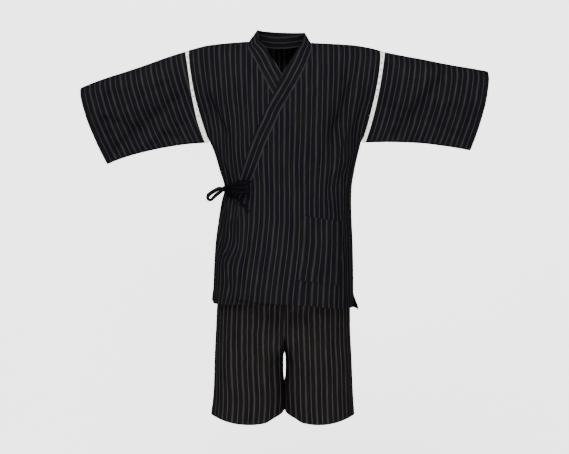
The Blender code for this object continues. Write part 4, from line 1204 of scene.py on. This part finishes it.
def leg_surface(side, height, turn):
    """The shorts' surface: hips above the crotch that turn into two legs below it."""
    share = fade(height, CROTCH, CROTCH - LEG_SPLIT)
    way = (180 - abs(turn)) / (180 - LEG_CORNER)
    outer = abs(turn) <= LEG_CORNER
    hip_x, hip_y = hip_ring(side, height, np.clip(turn * 180 / LEG_CORNER, -180, 180))
    depth = section(side, height, turn)[1]
    hip_x = np.where(outer, hip_x, side * LEG_TOUCH)
    hip_y = np.where(outer, hip_y, -depth * way * np.sign(turn))
    leg_x, leg_y = leg_ring(side, height, turn)
    drop = curve(LEG_HEM["turn"], LEG_HEM["z"], abs(turn)) - LEG_ROWS[-1]
    z = height + drop * fade(height, CROTCH, LEG_ROWS[-1])
    sag = CROTCH_SAG * (1 - way**2) * (1 - share)
    z = z - np.where(outer, 0, sag)
    return np.stack([hip_x * (1 - share) + leg_x * share, hip_y * (1 - share) + leg_y * share, z], -1)


# %% [markdown]
# The outer part of a leg runs from the waist down and the inner strip only below the crotch, so they are two
# grids that meet along two lines, and their points are welded there afterwards. The stripes are measured from
# the middle of each leg's front, where the real cloth hangs straight. From there to the inner side mostly the
# steps to the side count, so that the stripes stay upright where the cloth turns away at the crotch.

# %% Legs
LEG_MIDDLE = 64  # turn at the middle of a leg's front
LEG_LEAN = {RIGHT: 12.0, LEFT: 0.0}  # how far the stripes lean towards the middle at the hem
INNER_WEIGHTS = (1.0, 0.3, 0.0)  # how much a step along x, y and z counts at the inner side
SHORTS_HEM = 20  # depth of the hem


def shorts_leg(side, word):
    """One leg, from the waistband to its hem."""
    heights = LEG_ROWS[:, None]
    outer_turns = np.linspace(LEG_CORNER, -LEG_CORNER, OUTER_STEPS + 1)
    outer = leg_surface(side, heights, outer_turns)
    low = LEG_ROWS <= CROTCH
    inner_turns = np.linspace(-LEG_CORNER, -360 + LEG_CORNER, INNER_STEPS + 1)
    inner_turns = np.where(inner_turns < -180, inner_turns + 360, inner_turns)
    inner = leg_surface(side, heights[low], inner_turns)
    inner[:, 0], inner[:, -1] = outer[low][:, -1], outer[low][:, 0]
    points = np.concatenate([outer.reshape(-1, 3), inner.reshape(-1, 3)])
    flip = side == LEFT
    faces = grid_faces(*outer.shape[:2], flip)
    faces = np.concatenate([faces, grid_faces(*inner.shape[:2], flip) + outer.shape[0] * outer.shape[1]])
    outward = shared_normals([(points, faces)])[0]
    crease = ridges(SHORTS_CREASES, points[:, 0], points[:, 2]) * np.where(points[:, 1] < 0, 1, -0.8)
    calm = fade(abs(points[:, 0]), 4, 24) * fade(points[:, 2], -560, -600) * fade(abs(points[:, 1]), 20, 60)
    points = points + outward * (crease * calm)[:, None]
    around = run(outer, 1, np.where((outer_turns > LEG_MIDDLE)[1:, None], INNER_WEIGHTS, 1.0))
    start = np.array([np.interp(LEG_MIDDLE, outer_turns[::-1], row[::-1]) for row in around])[:, None]
    lean = LEG_LEAN[side] * fade(LEG_ROWS, -770, -1045)[:, None]
    along = -run(outer, 0)
    inner_run = run(inner, 1, INNER_WEIGHTS)
    inner_across = side * (start[low] + inner_run[:, -1:] - inner_run) + lean[low]
    outer_grain = np.stack([side * (start - around) + lean, along], -1)
    inner_grain = np.stack([inner_across, along[low][:, :1] + 0 * inner_across], -1)
    grain = np.concatenate([outer_grain.reshape(-1, 2), inner_grain.reshape(-1, 2)])
    hem = np.concatenate([from_end(outer, 0).reshape(-1), from_end(inner, 0).reshape(-1)])
    deep = hem_thickness(hem, SHORTS_HEM)
    made = piece(f"shorts_{word}_cloth", points, faces, outward, grain, deep, SHORTS_CLOTH, tube=True)
    stands_for(made, f"shorts_{word}")
    grids[f"shorts_{word}"] = outer, own_normals(outer, flip)
    print(made.name, len(made.data.polygons), "faces")


shorts_leg(LEFT, "left")
shorts_leg(RIGHT, "right")

# %% [markdown]
# The waistband is hidden by the jacket in the photo. A jinbei's shorts have a drawn elastic waist, so the
# band is gathered: its wall waves in and out in small even pleats between the two edges.

# %% Waistband
GATHERS = 84
GATHER_DEEP = 0.8
WAIST_CLOTH = 1.6  # thickness of the folded band


def waistband():
    """The ring of both hip sections, with its gathers."""
    turns = np.linspace(0, 360, GATHERS * 6 + 1)
    on_left = (turns < 90) | (turns >= 270)
    around = np.where(turns <= 180, turns, turns - 360)
    part = np.where(on_left, around * 2, np.sign(around) * (360 - abs(around) * 2))
    heights = np.linspace(WAIST_TOP, WAIST_LOW, 17)[:, None]
    halves = hip_ring(LEFT, heights, part), hip_ring(RIGHT, heights, part)
    x, y = (np.where(on_left, left_half, right_half) for left_half, right_half in zip(*halves))
    grid = np.stack([x, y, heights + 0 * x], -1)
    grid[:, -1] = grid[:, 0]
    outward = own_normals(grid)
    calm = fade(heights, WAIST_TOP, WAIST_TOP - 6) * fade(heights, WAIST_LOW, WAIST_LOW + 6)
    grid = pushed(grid, outward, GATHER_DEEP * np.cos(np.radians(turns) * GATHERS) * (0.35 + 0.65 * calm))
    grain = np.stack([run(grid, 1), -run(grid, 0)], -1)
    made = grid_piece("waistband_cloth", grid, outward, grain, WAIST_CLOTH, SHORTS_CLOTH, tube=True)
    stands_for(made, "waistband")


waistband()
print("waistband with", GATHERS, "gathers")

# %% [markdown]
# ## Side tie
# The tie is a soft tube of black cotton, pressed flat. It is knotted in a bow at the wearer's right side. One
# loop is rolled narrow and sticks out, the other lies spread over the front, and a thin end hangs from the
# knot. A short strap goes on from the left front to the knot, under the wide loop. The routes are the frame's
# own.

# %% Routes of the tie
KNOT_AT, KNOT_HALF = (-163, -46, -402), (8, 8, 10)
TIES = {
    "tie_strap": (
        (-100.8, -91.8, -395), (-112, -86.2, -396), (-127, -77.6, -398), (-141, -65.6, -400),
        (-155.9, -50.4, -402),
    ),
    "tie_loop_side": (
        (-171.6, -47.4, -398.8), (-181, -50, -401.5), (-193, -53, -408), (-204, -55, -415),
        (-210, -56, -422), (-209, -56, -430), (-202, -55, -432), (-193, -54, -424), (-183, -52, -415),
        (-170.6, -48.8, -407.2),
    ),
    "tie_end": (
        (-162.3, -47, -413.1), (-158, -51, -418), (-148, -61, -421.5), (-135, -74, -424), (-124, -84, -430),
        (-114, -93, -440), (-105, -99.5, -451), (-97, -103, -461),
    ),
}
# The wide loop's route, with half its width at each point.
LOOP_FRONT = (
    (-160.9, -54.3, -400, 3.5), (-155, -62, -398.5, 5), (-146, -69.5, -397, 8), (-133, -81, -395, 11.5),
    (-118, -91.5, -393.5, 14), (-104, -100.5, -393, 16), (-96.5, -104.5, -393, 16.5),
    (-94, -108.5, -393, 16.5), (-98, -112, -393, 16), (-108, -108, -393.5, 15), (-122, -98.5, -395, 12.5),
    (-137, -87, -397.5, 9), (-150, -74, -400.5, 6), (-158.5, -64, -402.5, 4), (-163.4, -55.0, -403, 3.5),
)
# Width and thickness of the flat tape, and how far it is turned about its run, along each stretch.
TAPES = {
    "tie_strap": columns("share wide thick turn", (0, 6.6, 2.6, 0), (1, 5.6, 4.0, 10)),
    "tie_loop_side": columns(
        "share wide thick turn",
        (0, 6.2, 4.6, 0), (0.15, 11.2, 3.6, 2), (0.40, 11.6, 3.6, 4), (0.53, 8.8, 4.2, 0),
        (0.62, 8.6, 4.2, 0), (0.76, 10.4, 4.0, 2), (0.90, 9.6, 4.2, -4), (1, 6.0, 4.8, 0),
    ),
    "tie_end": columns(
        "share wide thick turn",
        (0, 5.6, 4.6, 0), (0.3, 5.4, 3.0, 40), (0.6, 6.2, 2.6, 30), (0.9, 7.0, 2.2, 24), (1, 7.2, 2.0, 20),
    ),
}


def through(points, steps):
    """A smooth line through given points."""
    given = np.array(points, float)
    ends = np.vstack([2 * given[0] - given[1], given, 2 * given[-1] - given[-2]])
    line = []
    for a, b, c, d in zip(ends, ends[1:], ends[2:], ends[3:]):
        square, cube = 2 * a - 5 * b + 4 * c - d, 3 * b - a - 3 * c + d
        for t in np.arange(steps) / steps:
            line.append(b + ((c - a) * t + square * t**2 + cube * t**3) / 2)
    return np.array(line + [given[-1]])


print({name: len(route) for name, route in TIES.items()}, "points of the routes")

# %% [markdown]
# A tape is a flat oval swept along its route. The oval's own directions come from the route and from the
# direction to the front, turned as the table says, and fine pleats run along it. Both ends are closed. A real
# tape goes on inside the knot, so a route that ends beside the knot is led into it.

# %% Tapes
TAPE_SIDES = 28
TAPE_PLEAT = 0.10  # depth of its three pleats, as a share of its thickness
NEAR_KNOT, INTO_KNOT = 16, 0.55  # a route that ends so near goes on by that share of the way


def into_knot(route):
    """A route whose ends at the knot go on to its inside."""
    points = np.array(route, float)
    for end in (0, -1):
        gap = np.array(KNOT_AT) - points[end]
        if np.linalg.norm(gap) < NEAR_KNOT:
            points[end] += gap * INTO_KNOT
    return points


def tape(name, route, form):
    """A tape on its route; returned with the line that it follows and the line's length."""
    line = through(into_knot(route), 8)
    gone = run(line, 0)
    share = gone / gone[-1]
    wide, thick, turn = (curve(form["share"], form[key], share) for key in ("wide", "thick", "turn"))
    ahead = np.gradient(line, axis=0)
    ahead /= np.linalg.norm(ahead, axis=1, keepdims=True)
    out = np.array([0.0, -1.0, 0.0]) + ahead * ahead[:, 1:2]
    out /= np.linalg.norm(out, axis=1, keepdims=True)
    flat = np.cross(ahead, out)
    angle = np.radians(turn)[:, None]
    out, flat = out * np.cos(angle) + flat * np.sin(angle), flat * np.cos(angle) - out * np.sin(angle)
    around = np.linspace(0, math.tau, TAPE_SIDES + 1)
    pleat = 1 + TAPE_PLEAT * np.cos(3 * around)
    across = wide[:, None] / 2 * np.sign(np.cos(around)) * abs(np.cos(around)) ** 0.7
    height = thick[:, None] / 2 * np.sin(around) * pleat
    grid = line[:, None] + flat[:, None] * across[..., None] + out[:, None] * height[..., None]
    grid[:, -1] = grid[:, 0]
    caps = np.stack([np.broadcast_to(line[0], grid[0].shape), np.broadcast_to(line[-1], grid[0].shape)])
    grid = np.concatenate([caps[:1], grid, caps[1:]])
    along = np.concatenate([[0], gone, gone[-1:]])
    grain = np.stack(np.broadcast_arrays(around * 3, along[:, None]), -1).reshape(-1, 2)
    made = mesh_object(name + "_cotton", grid.reshape(-1, 3), grid_faces(*grid.shape[:2]), grain, TIE_COTTON)
    weld(made)
    stands_for(made, name)
    return made, line, gone[-1]


tapes = {name: tape(name, route, TAPES[name]) for name, route in TIES.items()}
print({name: round(float(length)) for name, (_, _, length) in tapes.items()}, "mm of tape")

# %% [markdown]
# The wide loop is the same tube spread flat, 33 mm at its fold. It goes out from the knot under itself and
# comes back over itself. Gathered at the knot, its outer layer fans out into rounded ridges with sharp
# valleys between them, as a power of a sine gives. The ridges are low at the knot, where there is no room.

# %% Wide loop and knot
WIDE_STEPS = 36
FOLD_NARROWER = 0.22  # how much the loop is drawn in where it folds back, as a share
EDGE_WAVE = 1.2  # how far its edges wander
SAG, LOW_EDGE = 2.0, 0.20  # how far its middle hangs, and how much its lower edge is drawn up
PLEAT_HIGH = 4.8
LOOP_EDGE, LOOP_MORE = 0.9, 1.1  # thickness at its edges, and what the middle has more


def wide_loop():
    """The flat loop: its grid has the route along it and the width across."""
    line = through(LOOP_FRONT, 9)
    gone = run(line[:, :3], 0)
    across = np.linspace(-1, 1, WIDE_STEPS + 1)
    from_fold = np.linalg.norm(line[:, :3] - line[np.argmax(line[:, 0]), :3], axis=1)
    half = line[:, 3] * (1 - FOLD_NARROWER * np.exp(-((from_fold / 6) ** 2))) + EDGE_WAVE * np.sin(gone / 9)
    gone, half, along = gone[:, None], half[:, None], line[:, None, :3]
    grid = along + np.stack(np.broadcast_arrays(0, 0, half * across), -1)
    grid[..., 2] += SAG * (np.sin(gone / 17) - 1) * (1 - across**2)
    grid[..., 2] -= LOW_EDGE * np.maximum(half - 5, 0) * (1 - across)
    outward = own_normals(grid)
    to_knot = np.minimum(gone, gone[-1] - gone)
    outer_layer = fade(gone, gone[-1] * 0.45, gone[-1] * 0.55)
    pleat = abs(np.sin(across * 3.8 + 0.7 + 0.8 * np.sin(gone / 15))) ** 0.7
    height = PLEAT_HIGH * (pleat - 0.3) * outer_layer * (0.35 + 0.65 * rounding(to_knot / 50))
    grid = pushed(grid, outward, height)
    deep = (LOOP_EDGE + LOOP_MORE * rounding((1 - abs(across)) / 0.12)) * np.ones_like(to_knot)
    grain = np.stack(np.broadcast_arrays(across * 16, gone), -1)
    made = grid_piece("tie_loop_front_cotton", grid, outward, grain, deep, TIE_COTTON)
    stands_for(made, "tie_loop_front")


def knot():
    """The knot: a lump with the tape's wraps round it as rounded bands."""
    down, turn = np.meshgrid(np.linspace(0, math.pi, 41), np.linspace(0, math.tau, 65), indexing="ij")
    unit = np.stack([np.sin(down) * np.cos(turn), np.sin(down) * np.sin(turn), np.cos(down)], -1)
    slant = unit[..., 2] * 0.8 + unit[..., 0] * 0.6
    wraps = 0.94 + 0.07 * np.cos(slant * 9.0)
    over = 0.08 * np.exp(-(((unit[..., 0] * 0.8 - unit[..., 2] * 0.6 + 0.1) / 0.28) ** 2))
    grid = np.array(KNOT_AT) + unit * np.array(KNOT_HALF) * (wraps + over)[..., None]
    grain = np.stack([turn * 8, down * 8], -1).reshape(-1, 2)
    made = mesh_object("tie_knot_cotton", grid.reshape(-1, 3), grid_faces(41, 65), grain, TIE_COTTON)
    weld(made)
    stands_for(made, "tie_knot")


wide_loop()
knot()

# %% [markdown]
# ## Stitches
# A turned hem is held by a row of machine stitches in dark thread, one every four millimetres. Each stitch is
# a short thread that dips into the cloth at both ends. A row is found on a panel's grid at its distance from
# the edge, and the stitches are set along it at even steps, in one mesh for each panel.

# %% Stitches
STITCH_APART, STITCH_LONG, STITCH_THICK = 4.2, 3.2, 0.5
STITCH_SIDES = 6
# Along a stitch from end to end: place, thickness and height over the cloth.
STITCH_FORM = columns(
    "place thick high", (-0.5, 0.4, -0.5), (-0.3, 0.9, 0.1), (0, 1, 0.3), (0.3, 0.9, 0.1), (0.5, 0.4, -0.5)
)


def row_from_end(grid, outward, distance, axis=0):
    """Points and normals of the line at a distance from a grid's last row, or from its last step."""
    far = from_end(grid, axis)
    both = np.concatenate([grid, outward.reshape(grid.shape)], axis=-1)
    if axis:
        far, both = far.T, both.swapaxes(0, 1)
    steps = range(both.shape[1])
    line = np.array([at_distance(both[::-1, step], far[::-1, step], distance) for step in steps])
    return line[:, :3], line[:, 3:]


def at_distance(values, gone, at):
    """Each part of the values at a distance, or at many, between the distances where they are given."""
    return np.stack([np.interp(at, gone, part) for part in values.T], -1)


def one_long(ways):
    return ways / np.linalg.norm(ways, axis=1, keepdims=True)


def stitches(name, rows):
    """Stitches along rows, each its points, its normals and how far the cloth's skin is from them."""
    centres, ways, outs = [], [], []
    for points, outward, skin in rows:
        gone = run(points, 0)
        at = np.arange(STITCH_APART / 2, gone[-1], STITCH_APART)
        out = one_long(at_distance(outward, gone, at))
        centres.append(at_distance(points, gone, at) + out * skin)
        ways.append(one_long(at_distance(points, gone, at + 0.5) - at_distance(points, gone, at - 0.5)))
        outs.append(out)
    centre, way, out = (np.concatenate(values)[:, None, None] for values in (centres, ways, outs))
    turn = np.arange(STITCH_SIDES)[:, None] * math.tau / STITCH_SIDES
    form = {key: value[:, None, None] for key, value in STITCH_FORM.items()}
    radius = form["thick"] * STITCH_THICK / 2
    points = centre + way * form["place"] * STITCH_LONG + np.cross(way, out) * radius * np.cos(turn)
    points = points + out * (radius * np.sin(turn) + form["high"] * STITCH_THICK)
    rings = np.arange(len(STITCH_FORM["place"]) - 1)[:, None] * STITCH_SIDES
    first = (rings + np.arange(STITCH_SIDES)).reshape(-1, 1)
    after = (rings + (np.arange(STITCH_SIDES) + 1) % STITCH_SIDES).reshape(-1, 1)
    tube = np.concatenate([first, after, after + STITCH_SIDES, first + STITCH_SIDES], axis=1)
    ends = np.array([[3, 2, 1, 0], [0, 5, 4, 3], [24, 25, 26, 27], [27, 28, 29, 24]])
    each = points.shape[1] * points.shape[2]
    faces = (np.arange(len(centre))[:, None, None] * each + np.concatenate([tube, ends])).reshape(-1, 4)
    made = mesh_object(name, points.reshape(-1, 3), faces, points[..., :2].reshape(-1, 2), THREAD_COTTON)
    print(name, len(centre), "stitches")
    return made


# %% [markdown]
# The rows: along each hem and cuff, down the two front edges below the collar, and round the pocket. The
# pocket's other two edges are the last ones of its grid turned round.

# %% Rows of stitches
HEM_ROW = HEM_DEEP - 3  # distance of the stitches from the edge
SHORTS_ROW = SHORTS_HEM - 3
POCKET_ROW = 3
HEM_SKIN = (CLOTH + HEM_MORE) / 2  # from the middle of a hem's wall to its outside
POCKET_SKIN = (CLOTH + 0.2) / 2
FREE_EDGES = {"jacket_front_left": -410, "jacket_front_right": -400}  # where the stitches of each start
HEMMED = (*FREE_EDGES, "jacket_back", "sleeve_left", "shorts_left", "sleeve_right", "shorts_right")

hem_rows = {}
for node in HEMMED:
    distance = SHORTS_ROW if "shorts" in node else HEM_ROW
    hem_rows[node] = [(*row_from_end(*grids[node], distance), HEM_SKIN)]
for node, free in FREE_EDGES.items():
    points, outward = row_from_end(*grids[node], HEM_ROW, axis=1)
    below = (points[:, 2] < free) & (points[:, 2] > points[:, 2].min() + HEM_ROW)
    hem_rows[node].append((points[below], outward[below], HEM_SKIN))
grid, outward = grids["pocket"]
outward = outward.reshape(grid.shape)
hem_rows["pocket"] = [
    (*row_from_end(grid, outward, POCKET_ROW), POCKET_SKIN),
    (*row_from_end(grid[::-1], outward[::-1], POCKET_MOUTH - 3), POCKET_SKIN),
    (*row_from_end(grid, outward, POCKET_ROW, axis=1), POCKET_SKIN),
    (*row_from_end(grid[:, ::-1], outward[:, ::-1], POCKET_ROW, axis=1), POCKET_SKIN),
]
threads = {
    node: stitches(node + "_stitches", rows)
    for node, rows in hem_rows.items()
}

# %% [markdown]
# ## Cords
# A maker cuts flat cloth. The three thin tapes of the tie are listed with a width in metres and the kind of
# their far end, and each is looked up among the tapes with the line that it follows and that line's length.

# %% Cords
CORDS = (("tie_strap", 0.0063, "object"), ("tie_loop_side", 0.0085, "object"), ("tie_end", 0.0065, "bare"))
for name, width, far_end in CORDS:
    made, line, length = tapes[name]

# %% [markdown]
# ## Light and floor
# The photo has an even white ground and large soft lights from the front. A sheet of pale card runs down
# behind the set and forward as the floor. To the camera the card glows, so that it is nearly white, and to
# the cloth it glows far less, so that folds and the sides of the body keep their shade. Seen from behind it
# lets the light through, so a camera there sees the set before the room's own pale glow.

# %% Card
FLOOR = -1.46
CARD_FRONT, CARD_BACK, CARD_TOP, CARD_HALF = -6.0, 2.2, 3.0, 7.0
BEND = 0.8
GLOW_SEEN, GLOW_FELT = 2.0, 0.4  # of the card, to the camera and to the cloth
IS_CAMERA_RAY, IS_BACKFACING = 0, 6  # outputs of the two nodes that tell them


def lit_card(strength):
    """The card's pale paper with a glow."""
    sockets = {"Base Color": (0.9, 0.9, 0.9, 1), "Roughness": 0.9, "Emission Color": (1, 1, 1, 1)}
    return paper.node("BsdfPrincipled", None, sockets | {"Emission Strength": strength})


profile = [(CARD_FRONT, FLOOR), (CARD_BACK - BEND, FLOOR)]
profile += [
    (CARD_BACK - BEND + BEND * math.sin(a), FLOOR + BEND * (1 - math.cos(a)))
    for a in np.linspace(0, math.pi / 2, 13)[1:]
]
profile.append((CARD_BACK, CARD_TOP))
corners = [(x, y, z) for y, z in profile for x in (-CARD_HALF, CARD_HALF)]
card = bpy.data.meshes.new("ground")
card.from_pydata(corners, [], [(2 * i, 2 * i + 1, 2 * i + 3, 2 * i + 2) for i in range(len(profile) - 1)])
card.shade_smooth()
paper = Shader("ground")
to_camera = paper.node("LightPath").output(IS_CAMERA_RAY)
seen_card = paper.node("MixShader", None, {0: to_camera, 1: lit_card(GLOW_FELT), 2: lit_card(GLOW_SEEN)})
from_behind = paper.node("NewGeometry").output(IS_BACKFACING)
seen = paper.node("MixShader", None, {0: from_behind, 1: seen_card, 2: paper.node("BsdfTransparent")})
paper.node("OutputMaterial", None, {"Surface": seen})
card.materials.append(paper.material)
ground = bpy.data.objects.new("ground", card)
bpy.context.collection.objects.link(ground)
print("card bends at", round(CARD_BACK - BEND, 2), "m behind the set")

# %% [markdown]
# Two large round lamps light the set: a key from above, a little to the left of the camera, and a weaker fill
# beside the camera that lifts the shade. The larger a lamp, the softer its shadows.

# %% Lamps and room
LAMPS_AIM = Vector((0, 0, -0.5))
# Name, place, size across in metres and power in watts.
LAMPS = (("lamp_key", (-0.7, -2.4, 2.75), 2.8, 350), ("lamp_fill", (0.6, -3.4, -0.2), 1.8, 95))
ROOM_LIGHT, ROOM_GLOW = 0.14, 2.3  # the room's light, and how much more of it the camera sees

for name, place, size, power in LAMPS:
    data = bpy.data.lights.new(name, "AREA")
    data.shape = "DISK"
    data.size = size
    data.energy = power
    made = bpy.data.objects.new(name, data)
    made.location = place
    made.rotation_euler = (LAMPS_AIM - Vector(place)).to_track_quat("-Z", "Y").to_euler()
    bpy.context.collection.objects.link(made)
room = Shader("room", bpy.data.worlds)
glow = ROOM_LIGHT + ROOM_GLOW * room.node("LightPath").output(IS_CAMERA_RAY)
pale = room.node("Background", None, {"Color": (1, 1, 1, 1), "Strength": glow})
room.node("OutputWorld", None, {"Surface": pale})
bpy.context.scene.world = room.material
print(len(LAMPS), "lamps stand")
